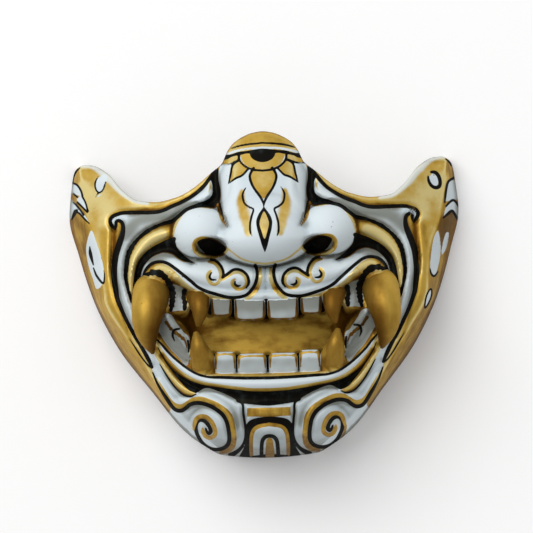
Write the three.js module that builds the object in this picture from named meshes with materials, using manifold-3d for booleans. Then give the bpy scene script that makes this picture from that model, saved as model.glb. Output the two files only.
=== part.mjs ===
// Oni half mask: one resin casting that covers nose, cheeks, mouth and chin.
// It lies face up on the flat rim of its hollow back, so +Z is the way the face looks,
// +Y runs from the chin to the bridge of the nose, and +X is the right side of the picture.
// The two halves mirror each other, so every form is drawn once, for x above zero.
import * as THREE from "three";
import { mergeVertices } from "three/addons/utils/BufferGeometryUtils.js";
import Module from "manifold-3d";

// Driving sizes in millimetres.
const WIDTH = 197; // wing to wing
const LENGTH = 163.6; // chin to the top of the nose cap
const DEPTH = 95; // rim to the tip of the nose
const WALL = 5; // thickness of the casting
const NOSTRIL_DEPTH = 11;
const MOUTH_DEPTH = 20; // lips to the wall behind the teeth
const LIP_RISE = 5;
const EDGE_RISE = 3.6; // the rim of the upper lip over the teeth
const GUM_RISE = 2.5; // the ridge of gum at the corners of the mouth
const FOLD_RISE = 3.6; // the cheek fold and the roll inside it
const GROOVE_DEPTH = 2.2;
const SCROLL_RISE = 6.5; // the two chin scrolls
const TUSK_ROOT = 9.6; // radius where the tusk leaves the lip
const TUSK_TIP = 0.9;
const FANG_ROOT = 6.6;
const FANG_TIP = 1.2;
const TOOTH_DEPTH = 20;
const TOOTH_BEVEL = 1.1;

// The carving is drawn on a sheet of this size, and stretched to the sizes above.
const SHEET_WIDTH = 197;
const SHEET_LENGTH = 163.6;
const SHEET_DEPTH = 95;
const ACROSS = WIDTH / SHEET_WIDTH;
const ALONG = LENGTH / SHEET_LENGTH;
const UP = DEPTH / SHEET_DEPTH;

// Fineness of the facets.
const COLUMNS = 66;
const ROWS = 44;
const HOLLOW_COLUMNS = 28;
const HOLLOW_ROWS = 18;
const FRONT_SHARE = 0.8; // share of the columns in front of the side ridge

const HOLLOW_SLOPE = 11; // run of the slope around the mouth wall, seen from behind
const BELOW = 3; // how far the raw casting runs on below the rim before it is cut flat

// Smooth curve through [place, value] points that never overshoots them.
function curve(points) {
  const steps = points.slice(1).map((p, i) => (p[1] - points[i][1]) / (p[0] - points[i][0]));
  const slopes = points.map((_, i) => {
    const before = steps[Math.max(i - 1, 0)];
    const after = steps[Math.min(i, steps.length - 1)];
    return before * after <= 0 ? 0 : (2 * before * after) / (before + after);
  });
  return (at) => {
    const last = points.length - 1;
    if (at <= points[0][0]) return points[0][1];
    if (at >= points[last][0]) return points[last][1];
    const i = points.findIndex((p) => p[0] > at) - 1;
    const span = points[i + 1][0] - points[i][0];
    const t = (at - points[i][0]) / span;
    const rise = points[i + 1][1] - points[i][1];
    const lift = (slopes[i] * (1 - t) - slopes[i + 1] * t) * span + rise * (2 * t - 1);
    return points[i][1] + rise * t + t * (1 - t) * lift;
  };
}

const clamp = (value, low, high) => Math.min(Math.max(value, low), high);

function step(from, to, value) {
  const t = clamp((value - from) / (to - from), 0, 1);
  return t * t * (3 - 2 * t);
}

// The higher of two heights, with a fillet where they cross.
function blend(a, b, fillet) {
  const near = Math.max(fillet - Math.abs(a - b), 0);
  return Math.max(a, b) + (near * near) / (4 * fillet);
}

// One at the middle of a route, falling smoothly to zero at its half width.
function roll(route, x, y) {
  let best = 0;
  for (let i = 1; i < route.length; i++) {
    const [ax, ay, aw] = route[i - 1];
    const [bx, by, bw] = route[i];
    const length2 = (bx - ax) ** 2 + (by - ay) ** 2;
    const t = clamp(((x - ax) * (bx - ax) + (y - ay) * (by - ay)) / length2, 0, 1);
    const away = Math.hypot(x - ax - t * (bx - ax), y - ay - t * (by - ay));
    const share = Math.min(away / (aw + t * (bw - aw)), 1);
    best = Math.max(best, (1 - share * share) ** 2);
  }
  return best;
}

// Squared distance from a centre, as a share of an ellipse's radii.
const inEllipse = (x, y, cx, cy, rx, ry) => ((x - cx) / rx) ** 2 + ((y - cy) / ry) ** 2;

// Outline of the mask seen from the front.
const sideAt = curve([
  [-79.5, 27], [-67.5, 43], [-49.5, 57], [-25.5, 75], [-1.5, 86.7], [22.5, 94.3],
  [40.5, 98.5], [55, 97], [64.5, 95.5],
]);
const topAt = curve([
  [-5, 81], [0, 81.7], [5, 81], [10, 79], [14.5, 76], [17.6, 72], [20.5, 66], [25, 62.3],
  [36, 53.5], [43, 50], [53.8, 47.7], [63, 48.8], [70.5, 54.2], [78, 62.9], [85.5, 66.9],
  [90, 67.3], [93, 65.8], [95.5, 62.4], [97.8, 51.7],
]);
const chinAt = (x) => -81.9 + 2.4 * (x / 27) ** 2;
const CHIN_CURL = 15; // length over which the chin turns under

// The ridge that parts the front of the cheek from the steep side panel.
const ridgeAt = curve([
  [-79.5, 22], [-61, 42], [-51, 50.5], [-33.8, 60], [-17.5, 70.5], [-0.4, 79.7], [18, 80.3],
  [32, 84.7], [45, 88.4], [58, 90.5], [64.6, 91.6],
]);
const ridgeHeight = curve([
  [-79.5, 30], [-51, 42], [-17.5, 44], [0, 42], [18, 38], [32, 32], [45, 26], [58, 20], [64.6, 14],
]);
const middleHeight = curve([
  [-81.9, 54], [-70, 60], [-58, 64], [-45, 67], [-10, 66], [12, 64], [30, 58], [50, 54],
  [70, 50], [82, 47],
]);
const DOME_POWER = 2.2;
const PANEL_POWER = 1.5;

function dome(x, y) {
  const ridge = ridgeAt(y);
  const edge = ridgeHeight(y);
  if (x < ridge) return edge + (middleHeight(y) - edge) * (1 - (x / ridge) ** DOME_POWER);
  const share = (x - ridge) / (sideAt(y) - ridge);
  return edge - (edge + BELOW) * share ** PANEL_POWER;
}

// Nose: the cap and bridge, the round tip and the two wings.
const bridgeHeight = curve([
  [16, 60], [22, 76], [30, 84], [36, 80.5], [42, 75.5], [50, 69], [60, 63], [71, 57], [82, 50],
]);
const bridgeWidth = curve([[18, 17], [38, 20], [46, 22], [58, 22.5], [71, 20], [82, 18]]);
const NOSE_TIP = [0, 29]; // centres and radii on the sheet
const TIP_RADII = [24, 14.5];
const TIP_RUN = 22; // length over which the tip rises out of the bridge
const TIP_ROOT = 67; // height at which the round tip starts
const TIP_RISE = 28;
const NOSE_WING = [31, 31.5];
const WING_RADII = [14.5, 13];
const WING_ROOT = 60;
const WING_RISE = 21;
const NOSTRIL = [26.4, 24.6];
const NOSTRIL_RADII = [7.6, 4.6];
const UNDER_NOSE = 90; // fall of the bridge's line below the tip

// Round cap over an ellipse, and a fall outside it.
function ball(share, roundness = 0.5, fall = 2) {
  return share < 1 ? (1 - share) ** roundness : fall * (1 - share);
}

// Bridge and tip of the nose, moved in by an inset for the hollow behind them.
function bridge(x, y, inset) {
  const share = x / (bridgeWidth(y) - inset);
  const fall = UNDER_NOSE * step(22 + inset, 8 + inset, y);
  const back = bridgeHeight(y) - inset - 5 * share ** 2 - 14 * share ** 8 - fall;
  const run = y > NOSE_TIP[1] ? TIP_RUN : TIP_RADII[1];
  const upper = step(27, 40, y);
  const within = inEllipse(x, y, ...NOSE_TIP, TIP_RADII[0] - inset, run - inset);
  const round = ball(within, 0.5 + 0.7 * upper, 2 - 1.7 * upper * step(22, 14, x));
  return blend(back, TIP_ROOT + (TIP_RISE - inset) * round, 12);
}

function nose(x, y, height) {
  const wing = WING_ROOT + WING_RISE * ball(inEllipse(x, y, ...NOSE_WING, ...WING_RADII));
  return blend(height, blend(bridge(x, y, 0), wing, 9), 3);
}

function nostril(x, y) {
  return NOSTRIL_DEPTH / UP * step(1.3, 0.6, inEllipse(x, y, ...NOSTRIL, ...NOSTRIL_RADII));
}

// Upper lip: the mounds on both sides of the groove under the nose, out to the curl.
const MUZZLE = [[3, 9.5, 9], [20, 10, 13.5], [36, 12, 12], [50, 13, 9], [56, 12.5, 7]];
const muzzleRise = curve([[0, 10], [36, 12], [56, 8]]);

// Mouth opening between the lips, closed by a wall behind the teeth.
const mouthTop = curve([[0, -3.5], [31, -1.5], [36, -1.5], [40, -6], [47, -7.5]]);
const mouthFoot = curve([
  [0, -39.2], [30, -38.3], [36.5, -36], [38.8, -20.5], [41.5, -17.2], [45.3, -12.2], [48, -8.6],
]);
const MOUTH_CORNER = 48;
const MOUTH_SLOPE = 3;
const CORNER_SLOPE = 4;
const CORNER_SHALLOW = 0.6; // the mouth is shallower by this share at its corners
const GUM_RIDGE = [[49.5, -9.5, 2.5], [46.3, -13.6, 3], [42.6, -18.6, 3.2], [39.4, -23.5, 3.2]];
const UPPER_LIP_EDGE = [[0, 0, 4], [15, 0, 4], [28, 1.5, 4], [37, 5, 3.5], [44, 10, 3]];

// Distance inside the edge of the mouth opening, below zero outside it.
function insideMouth(x, y) {
  return Math.min(mouthTop(x) - y, y - mouthFoot(x), MOUTH_CORNER - x);
}

const LOWER_LIP = [[0, -43.5, 6], [15, -43, 6], [30, -41, 6], [41, -36, 6], [49, -29, 5], [54, -22, 4]];
const CHEEK_FOLD = [
  [27, 50, 4.5], [42, 43.5, 4.5], [57, 39.5, 5.5], [68, 33, 6], [72.5, 20, 4.5], [71.5, 6, 4],
  [66, -16, 4], [59, -31, 3.5],
];
const INNER_ROLL = [[46, 33.5, 4.5], [57, 30, 5.5], [64, 23, 5], [67, 15, 4], [67.5, 4, 3]];
const JAW_STRIP = [[56, -28.5, 3.5], [46, -41, 3.5], [37, -48.5, 3.5]];
const SCROLL_ARM = [[55, -42, 3], [48, -53, 4], [34, -51, 4], [22, -57, 4], [18, -68, 4]];
const DARK_GROOVES = [
  [[0, -51.5, 4.5], [15, -50, 4.5], [25, -46, 3], [40, -43, 4], [52, -29, 3]],
  [[37, 17, 3], [46, 24, 3.5], [56, 22, 3.5], [62, 17, 3.5], [64, 7, 2.5]],
  [[24, 62, 3], [24, 52, 3.5], [28, 46, 2.5]],
  [[75.5, 36, 2.5], [75, 10, 3], [64, -22, 2]],
];

// Height of the front above the rim plane, in sheet millimetres, without the rounded edges.
function front(x, y) {
  let height = dome(x, y);
  height += muzzleRise(x) * roll(MUZZLE, x, y);
  height += LIP_RISE / UP * roll(LOWER_LIP, x, y);
  height += EDGE_RISE / UP * roll(UPPER_LIP_EDGE, x, y);
  height += FOLD_RISE / UP * Math.max(roll(CHEEK_FOLD, x, y), roll(INNER_ROLL, x, y));
  height += 2.5 * Math.max(roll(JAW_STRIP, x, y), roll(SCROLL_ARM, x, y));
  height += SCROLL_RISE / UP * (1 - clamp(inEllipse(x, y, 28.5, -66.5, 12.5, 12.5), 0, 1));
  height += 3 * (1 - clamp(inEllipse(x, y, 0, -66, 12.5, 14), 0, 1));
  const dark = Math.max(...DARK_GROOVES.map((route) => roll(route, x, y)));
  height -= GROOVE_DEPTH / UP * dark;
  const corner = step(33, 44, x);
  const slope = MOUTH_SLOPE + CORNER_SLOPE * corner;
  const depth = MOUTH_DEPTH * (1 - CORNER_SHALLOW * corner);
  height -= (depth / UP) * step(-0.5, slope, insideMouth(x, y));
  height += GUM_RISE / UP * roll(GUM_RIDGE, x, y);
  height = nose(x, y, height);
  return height - nostril(x, y);
}

// A face with the chin turned under; anything outside the outline is below the rim.
function turnedUnder(face, realX, realY) {
  const x = Math.abs(realX) / ACROSS;
  const y = realY / ALONG;
  const over = y - chinAt(x);
  if (over <= 0 || x >= sideAt(y)) return -BELOW;
  const curl = Math.sqrt(1 - (1 - Math.min(over / CHIN_CURL, 1)) ** 2);
  return UP * ((face(x, y) + BELOW) * curl - BELOW);
}

const frontHeight = (x, y) => turnedUnder(front, x, y);

// Place of a share across and a share along the face, from an inset at the chin to a reach
// past the top edge.
function place(across, along, inset, reach) {
  const share = Math.abs(across);
  const inner = Math.min(share / FRONT_SHARE, 1);
  const outer = Math.max((share - FRONT_SHARE) / (1 - FRONT_SHARE), 0);
  let x = 0;
  let y = 0;
  for (let round = 0; round < 6; round++) {
    const foot = chinAt(inner * 22 + outer * 5) + inset;
    y = foot + (topAt(x) + reach - foot) * along;
    x = inner * ridgeAt(y) + outer * (sideAt(y) - ridgeAt(y));
  }
  return [Math.sign(across) * x * ACROSS, y * ALONG];
}

const wasm = await Module();
wasm.setup();

// The same faces with their corners joined, as a closed surface needs.
function welded(geometry) {
  const bare = geometry.clone();
  bare.deleteAttribute("normal");
  bare.deleteAttribute("uv");
  return mergeVertices(bare, 1e-4);
}

// The copy for the other half of the face, with its corners listed the other way round so
// that its faces still look outward.
function mirrored(geometry) {
  const copy = welded(geometry).scale(-1, 1, 1);
  copy.index.array.reverse();
  return copy;
}

function toSolid(geometry) {
  const closed = welded(geometry);
  const mesh = new wasm.Mesh({
    numProp: 3,
    vertProperties: new Float32Array(closed.attributes.position.array),
    triVerts: new Uint32Array(closed.index.array),
  });
  return new wasm.Manifold(mesh);
}

function toGeometry(solid) {
  const mesh = solid.getMesh();
  const geometry = new THREE.BufferGeometry();
  geometry.setAttribute("position", new THREE.BufferAttribute(mesh.vertProperties, 3));
  geometry.setIndex(new THREE.BufferAttribute(mesh.triVerts, 1));
  geometry.computeVertexNormals();
  return geometry;
}

// Each square of a box is cut along its shorter diagonal, so that creases stay clean.
function turnDiagonals(geometry) {
  const index = geometry.index.array;
  const corner = (i) => new THREE.Vector3().fromBufferAttribute(geometry.attributes.position, i);
  for (let i = 0; i < index.length; i += 6) {
    const [a, b, d, , c] = index.slice(i, i + 6);
    if (corner(a).distanceTo(corner(c)) < corner(b).distanceTo(corner(d))) {
      index.set([a, b, c, a, c, d], i);
    }
  }
}

// A block whose upper sheet follows a height and whose lower sheet is flat.
function block(columns, rows, inset, reach, heightAt, floor) {
  const geometry = new THREE.BoxGeometry(2, 1, 2, columns, rows, 1);
  const position = geometry.attributes.position;
  for (let i = 0; i < position.count; i++) {
    const along = (position.getY(i) + 0.5) ** 1.15;
    const [x, y] = place(position.getX(i), along, inset, reach);
    position.setXYZ(i, x, y, position.getZ(i) > 0 ? heightAt(x, y) : floor);
  }
  turnDiagonals(geometry);
  return toSolid(geometry);
}

// The hollow keeps the wall's thickness behind the plain face, measured square to it. It is
// deeper behind the nose, where the wearer's own nose goes, and shallower behind the mouth.
function hollowHeight(x, y) {
  let height = turnedUnder(dome, x, y) - WALL;
  for (const share of [0.5, 0.85, 0.98]) {
    for (let turn = 0; turn < 16; turn++) {
      const angle = (turn / 16) * 2 * Math.PI;
      const away = share * WALL;
      const near = turnedUnder(dome, x + away * Math.cos(angle), y + away * Math.sin(angle));
      height = Math.min(height, near - Math.sqrt(WALL ** 2 - away ** 2));
    }
  }
  const sheetX = Math.abs(x) / ACROSS;
  const sheetY = y / ALONG;
  height -= MOUTH_DEPTH * step(-HOLLOW_SLOPE, 0, insideMouth(sheetX, sheetY));
  height = blend(height, UP * bridge(sheetX, sheetY, WALL), 3);
  return Math.max(height, -2 * BELOW);
}

// A horn that tapers along a smooth path, with round sides and a small blunt tip.
function horn(path, radiusAt, sides, rings) {
  const spine = new THREE.CatmullRomCurve3(
    path.map(([x, y, z]) => new THREE.Vector3(x * ACROSS, y * ALONG, z * UP)),
  );
  const geometry = new THREE.CylinderGeometry(1, 1, 1, sides, rings);
  const position = geometry.attributes.position;
  const frames = spine.computeFrenetFrames(rings);
  for (let i = 0; i < position.count; i++) {
    const ring = Math.round((0.5 - position.getY(i)) * rings);
    const along = ring / rings;
    const point = spine.getPointAt(along);
    const radius = radiusAt(along);
    point.addScaledVector(frames.normals[ring], position.getX(i) * radius);
    point.addScaledVector(frames.binormals[ring], position.getZ(i) * radius);
    position.setXYZ(i, point.x, point.y, point.z);
  }
  return geometry;
}

function taper(root, tip, power) {
  return (along) => tip + (root - tip) * (1 - along ** power);
}

// A tooth with bevelled edges, from its outer face back into the mouth wall.
function tooth(left, right, foot, top, face) {
  const halfWidth = ((right - left) / 2) * ACROSS - TOOTH_BEVEL;
  const halfHeight = ((top - foot) / 2) * ALONG - TOOTH_BEVEL;
  const outline = new THREE.Shape();
  outline.moveTo(-halfWidth, -halfHeight);
  outline.lineTo(halfWidth, -halfHeight);
  outline.lineTo(halfWidth, halfHeight);
  outline.lineTo(-halfWidth, halfHeight);
  const geometry = new THREE.ExtrudeGeometry(outline, {
    depth: TOOTH_DEPTH,
    bevelThickness: TOOTH_BEVEL,
    bevelSize: TOOTH_BEVEL,
    bevelSegments: 1,
  });
  geometry.translate(
    ((left + right) / 2) * ACROSS,
    ((foot + top) / 2) * ALONG,
    face * UP - TOOTH_DEPTH - TOOTH_BEVEL,
  );
  return geometry;
}

function teeth() {
  const upperFront = tooth(0.5, 15.9, -12.4, 1, 67.5);
  const upperNext = tooth(17.1, 27.5, -9.9, 1, 66.5);
  const lowerFront = tooth(0.6, 15, -40, -28.9, 66.5);
  const lowerNext = tooth(15.8, 26.3, -40, -27.7, 65.5);
  return [upperFront, upperNext, lowerFront, lowerNext];
}

function fangs() {
  const upper = [[33.5, 3, 52], [33.3, -1, 64], [33, -7, 69], [34, -14.6, 68]];
  const lower = [[32, -36.5, 50], [31.8, -33.5, 61], [34, -25, 68.5], [35.3, -17.5, 67]];
  return [
    horn(upper, taper(FANG_ROOT, FANG_TIP, 2.5), 12, 6),
    horn(lower, taper(FANG_ROOT + 0.6, FANG_TIP, 2.4), 12, 6),
  ];
}

function tusk() {
  const path = [
    [56, 3, 44], [57, 2, 54], [58.5, -5, 61], [59.8, -13, 62.5], [59, -21, 59], [57, -27.6, 55],
  ];
  return horn(path, taper(TUSK_ROOT, TUSK_TIP, 2.6), 16, 12);
}

// The raw block with teeth and tusks on it, hollowed from behind and cut flat at the rim.
function castMask() {
  let solid = block(COLUMNS, ROWS, 0, 0, frontHeight, -BELOW - 1);
  for (const piece of [...teeth(), ...fangs(), tusk()]) {
    solid = solid.add(toSolid(piece)).add(toSolid(mirrored(piece)));
  }
  const pastTheTop = 12;
  const hollow = block(HOLLOW_COLUMNS, HOLLOW_ROWS, WALL, pastTheTop, hollowHeight, -3 * BELOW);
  const under = new THREE.BoxGeometry(2 * WIDTH, 2 * LENGTH, 4 * BELOW);
  under.translate(0, 0, -2 * BELOW);
  return solid.subtract(hollow).subtract(toSolid(under));
}

const painted = new THREE.MeshStandardMaterial({ color: 0xd8dcd9, roughness: 0.5, metalness: 0 });
const mask = new THREE.Mesh(toGeometry(castMask()), painted);
mask.name = "mask_shell";

// The origin is under the middle of the bounding box, on the rim plane.
mask.geometry.computeBoundingBox();
const box = mask.geometry.boundingBox;
mask.position.y = -(box.min.y + box.max.y) / 2;

const group = new THREE.Group();
group.add(mask);

export default group;
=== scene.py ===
# %% [markdown]
# # An oni half mask, hand painted in white, antique gold and black
# The mask covers nose, cheeks, mouth and chin. It is one resin casting with a hollow back, so it
# has no parts to assemble: the whole lesson is about one skin, its carving and its paint.
# It can't stand unheld, so it lies on the rim of its back and the camera looks down on its face.

import math

import bmesh
import bpy
import numpy as np
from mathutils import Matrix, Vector


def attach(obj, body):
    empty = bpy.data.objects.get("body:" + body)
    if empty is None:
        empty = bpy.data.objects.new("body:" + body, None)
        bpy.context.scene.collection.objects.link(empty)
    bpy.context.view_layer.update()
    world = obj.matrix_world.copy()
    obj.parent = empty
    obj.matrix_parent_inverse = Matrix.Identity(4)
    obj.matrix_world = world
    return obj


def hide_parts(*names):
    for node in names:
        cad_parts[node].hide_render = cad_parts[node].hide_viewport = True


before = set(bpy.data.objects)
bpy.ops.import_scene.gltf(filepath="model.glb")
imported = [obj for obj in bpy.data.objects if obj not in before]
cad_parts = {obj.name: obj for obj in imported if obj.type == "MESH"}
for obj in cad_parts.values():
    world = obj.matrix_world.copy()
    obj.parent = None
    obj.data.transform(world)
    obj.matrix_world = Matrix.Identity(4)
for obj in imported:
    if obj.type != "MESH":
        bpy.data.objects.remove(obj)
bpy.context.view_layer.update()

# %% [markdown]
# ## Camera, floor and light
# The photograph is a catalogue picture taken square to the face from far away. A long lens high
# above the floor keeps the depth of the nose from growing towards the picture's edge. The mask
# leans a little to the left in the picture, and the camera is rolled by that angle instead of
# turning the mask.

# %% Camera
MILLIMETRE = 0.001
PICTURE_SIDE = 533  # pixels
PICTURE_SCALE = 0.5  # millimetres on the mask for one pixel
PICTURE_LEAN = math.radians(1.4)
MASK_CENTRE_PIXEL = (266.0, 295.0)
CAMERA_HEIGHT = 6.0
SHARP_HEIGHT = 0.03  # height above the floor at which the scale is exact
SENSOR_WIDTH = 36.0
FARTHEST_SEEN = 20.0


def add_camera():
    lens = bpy.data.cameras.new("camera")
    lens.sensor_width = SENSOR_WIDTH
    view_width = PICTURE_SIDE * PICTURE_SCALE * MILLIMETRE
    lens.lens = SENSOR_WIDTH * (CAMERA_HEIGHT - SHARP_HEIGHT) / view_width
    lens.clip_end = FARTHEST_SEEN
    camera = bpy.data.objects.new("camera", lens)
    right = Vector((math.cos(PICTURE_LEAN), -math.sin(PICTURE_LEAN), 0))
    up = Vector((math.sin(PICTURE_LEAN), math.cos(PICTURE_LEAN), 0))
    across = (PICTURE_SIDE / 2 - MASK_CENTRE_PIXEL[0]) * PICTURE_SCALE * MILLIMETRE
    along = (MASK_CENTRE_PIXEL[1] - PICTURE_SIDE / 2) * PICTURE_SCALE * MILLIMETRE
    camera.location = right * across + up * along + Vector((0, 0, CAMERA_HEIGHT))
    camera.rotation_euler = (0, 0, -PICTURE_LEAN)
    bpy.context.collection.objects.link(camera)
    bpy.context.scene.camera = camera
    print("camera lens, mm:", round(lens.lens, 1))


add_camera()


# %% Soft light
KEY_PLACE = Vector((-1.2, 1.65, 2.7))
KEY_TARGET = Vector((0, 0, 0.04))
KEY_SIDE = 2.7
KEY_POWER = 82.0
STUDIO_GLOW = 0.5


def add_light():
    lamp = bpy.data.lights.new("key_light", "AREA")
    lamp.shape = "SQUARE"
    lamp.size = KEY_SIDE
    lamp.energy = KEY_POWER
    light = bpy.data.objects.new("key_light", lamp)
    light.location = KEY_PLACE
    light.rotation_euler = (KEY_TARGET - KEY_PLACE).to_track_quat("-Z", "Y").to_euler()
    bpy.context.collection.objects.link(light)
    world = bpy.data.worlds.new("studio")
    world.use_nodes = True
    background = world.node_tree.nodes["Background"]
    background.inputs["Color"].default_value = (1, 1, 1, 1)
    background.inputs["Strength"].default_value = STUDIO_GLOW
    bpy.context.scene.world = world
    bpy.context.scene.view_settings.view_transform = "Standard"


add_light()

# %% [markdown]
# ## Curves and distances
# A carver works from a drawing: an outline, a few heights, and lines to follow with the gouge.
# The same is done here. A profile is a smooth curve through a few known heights, and a carved
# roll or a painted line is a route, known by the distance from it to any point of the face.

# %% Smooth curves
def curve(*points):
    """Smooth curve through (place, value) points that never overshoots them."""
    place, value = np.array(points, float).T
    steps = np.diff(value) / np.diff(place)
    before = np.concatenate([steps[:1], steps])
    after = np.concatenate([steps, steps[-1:]])
    same_way = before * after > 0
    slope = np.where(same_way, 2 * before * after / np.where(same_way, before + after, 1), 0)

    def read(at):
        at = np.clip(at, place[0], place[-1])
        i = np.clip(np.searchsorted(place, at, side="right") - 1, 0, len(place) - 2)
        span = place[i + 1] - place[i]
        t = (at - place[i]) / span
        rise = value[i + 1] - value[i]
        lift = (slope[i] * (1 - t) - slope[i + 1] * t) * span + rise * (2 * t - 1)
        return value[i] + rise * t + t * (1 - t) * lift

    return read


def step(low, high, value):
    """Smooth change from 0 at low to 1 at high, which may be the lower number."""
    t = np.clip((value - low) / (high - low), 0, 1)
    return t * t * (3 - 2 * t)


def blend(a, b, fillet):
    """The higher of two heights, with a fillet where they cross."""
    near = np.maximum(fillet - np.abs(a - b), 0)
    return np.maximum(a, b) + near * near / (4 * fillet)


def in_ellipse(x, y, centre, radii):
    """Squared distance from a centre, as a share of an ellipse's radii."""
    return ((x - centre[0]) / radii[0]) ** 2 + ((y - centre[1]) / radii[1]) ** 2


# %% Routes
def smooth_route(points, closed=False, pieces=5):
    """Points on a smooth line through the given points; a width may come as a third number."""
    given = np.array(points, float)
    if closed:
        given = np.vstack([given[-1:], given, given[:2]])
    else:
        given = np.vstack([2 * given[0] - given[1], given, 2 * given[-1] - given[-2]])
    t = np.arange(pieces)[:, None] / pieces
    spans = []
    for a, b, c, d in zip(given[:-3], given[1:-2], given[2:-1], given[3:]):
        bend = (c - a) * t + (2 * a - 5 * b + 4 * c - d) * t**2 + (3 * b - a - 3 * c + d) * t**3
        spans.append(b + 0.5 * bend)
    spans.append(given[-2:-1])
    return np.vstack(spans)


def route_distance(x, y, route):
    """Distance to a route, and the route's third number at its nearest point."""
    nearest = np.full(x.shape, np.inf)
    carried = np.zeros(x.shape)
    for a, b in zip(route[:-1], route[1:]):
        run = b[:2] - a[:2]
        length2 = max(float(run @ run), 1e-9)
        t = np.clip(((x - a[0]) * run[0] + (y - a[1]) * run[1]) / length2, 0, 1)
        away = np.hypot(x - a[0] - t * run[0], y - a[1] - t * run[1])
        closer = away < nearest
        nearest = np.where(closer, away, nearest)
        if len(a) > 2:
            carried = np.where(closer, a[2] + t * (b[2] - a[2]), carried)
    return nearest, carried


def roll(x, y, points):
    """One at the middle of a route, falling smoothly to zero at its half width."""
    route = smooth_route(points)
    away, half_width = route_distance(x, y, route)
    share = np.minimum(away / half_width, 1)
    return (1 - share**2) ** 2


# %% [markdown]
# ## The form of the face
# The mask is nearly a relief: seen from the front, almost every point of the face has one height
# above the rim. So its form is a height over a plane, built up as a carver would: first the
# plain dome of the face with its steep sides, then nose, lips, folds and chin.
# Millimetres are used on the drawing, with x counted from the middle line to either side.

# %% Outline and dome
side_at = curve(
    (-79.5, 27), (-67.5, 43), (-49.5, 57), (-25.5, 75), (-1.5, 86.7), (22.5, 94.3),
    (40.5, 98.5), (55, 97), (64.5, 95.5),
)
top_at = curve(
    (-5, 81), (0, 81.7), (5, 81), (10, 79), (14.5, 76), (17.6, 72), (20.5, 66), (25, 62.3),
    (36, 53.5), (43, 50), (53.8, 47.7), (63, 48.8), (70.5, 54.2), (78, 62.9), (85.5, 66.9),
    (90, 67.3), (93, 65.8), (95.5, 62.4), (97.8, 51.7),
)
ridge_at = curve(
    (-79.5, 22), (-61, 42), (-51, 50.5), (-33.8, 60), (-17.5, 70.5), (-0.4, 79.7), (18, 80.3),
    (32, 84.7), (45, 88.4), (58, 90.5), (64.6, 91.6),
)
ridge_height = curve(
    (-79.5, 30), (-51, 42), (-17.5, 44), (0, 42), (18, 38), (32, 32), (45, 26), (58, 20),
    (64.6, 14),
)
middle_height = curve(
    (-81.9, 54), (-70, 60), (-58, 64), (-45, 67), (-10, 66), (12, 64), (30, 58), (50, 54),
    (70, 50), (82, 47),
)
DOME_POWER = 2.2
PANEL_POWER = 1.5
CHIN_CURL = 15.0
BELOW = 3.0  # the raw casting runs on below the rim, and is cut flat afterwards


def chin_at(x):
    return -81.9 + 2.4 * (x / 27) ** 2


def is_outside(x, y):
    return (y <= chin_at(x)) | (x >= side_at(y))


def turn_under(x, y, height):
    """Rounds a height down to below the rim along the edge of the chin."""
    over = np.clip((y - chin_at(x)) / CHIN_CURL, 0, 1)
    return (height + BELOW) * np.sqrt(1 - (1 - over) ** 2) - BELOW


def dome(x, y):
    ridge = ridge_at(y)
    edge = ridge_height(y)
    face = edge + (middle_height(y) - edge) * (1 - np.minimum(x / ridge, 1) ** DOME_POWER)
    share = np.clip((x - ridge) / (side_at(y) - ridge), 0, 1)
    return np.where(x < ridge, face, edge - (edge + BELOW) * share**PANEL_POWER)


# %% Nose
bridge_height = curve(
    (16, 60), (22, 76), (30, 84), (36, 80.5), (42, 75.5), (50, 69), (60, 63), (71, 57),
    (82, 50),
)
bridge_width = curve((18, 17), (38, 20), (46, 22), (58, 22.5), (71, 20), (82, 18))
BRIDGE_ROUND = 5
BRIDGE_SHOULDER = 14  # a fall close to the sides, which squares the bridge
BRIDGE_DROP = 90  # the bridge ends steeply under the tip
TIP_CENTRE = (0, 29)
TIP_HALF_WIDTH = 24
TIP_RUN = (14.5, 22)  # towards the lip, and up the bridge
TIP_FOOT = 67
TIP_RISE = 28
WING = ((31, 31.5), (14.5, 13))
WING_FOOT = 60
WING_RISE = 21
NOSTRIL = ((26.4, 24.6), (7.6, 4.6))
NOSTRIL_DEPTH = 11.0


def ball(share, roundness=0.5, fall=2.0):
    """A round cap over an ellipse, and a fall outside it."""
    return np.where(share < 1, np.maximum(1 - share, 0) ** roundness, fall * (1 - share))


def bridge(x, y, inset):
    """Bridge and tip of the nose, moved in by an inset for the hollow behind them."""
    share = x / (bridge_width(y) - inset)
    back = bridge_height(y) - inset - BRIDGE_ROUND * share**2 - BRIDGE_SHOULDER * share**8
    back -= BRIDGE_DROP * step(22 + inset, 8 + inset, y)
    run = np.where(y > TIP_CENTRE[1], TIP_RUN[1], TIP_RUN[0]) - inset
    upper = step(27, 40, y)
    within = in_ellipse(x, y, TIP_CENTRE, (TIP_HALF_WIDTH - inset, run))
    tip = ball(within, 0.5 + 0.7 * upper, 2 - 1.7 * upper * step(22, 14, x))
    return blend(back, TIP_FOOT + (TIP_RISE - inset) * tip, 12)


def with_nose(x, y, height):
    wing = WING_FOOT + WING_RISE * ball(in_ellipse(x, y, *WING))
    height = blend(height, blend(bridge(x, y, 0), wing, 9), 3)
    return height - NOSTRIL_DEPTH * step(1.3, 0.6, in_ellipse(x, y, *NOSTRIL))


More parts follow.
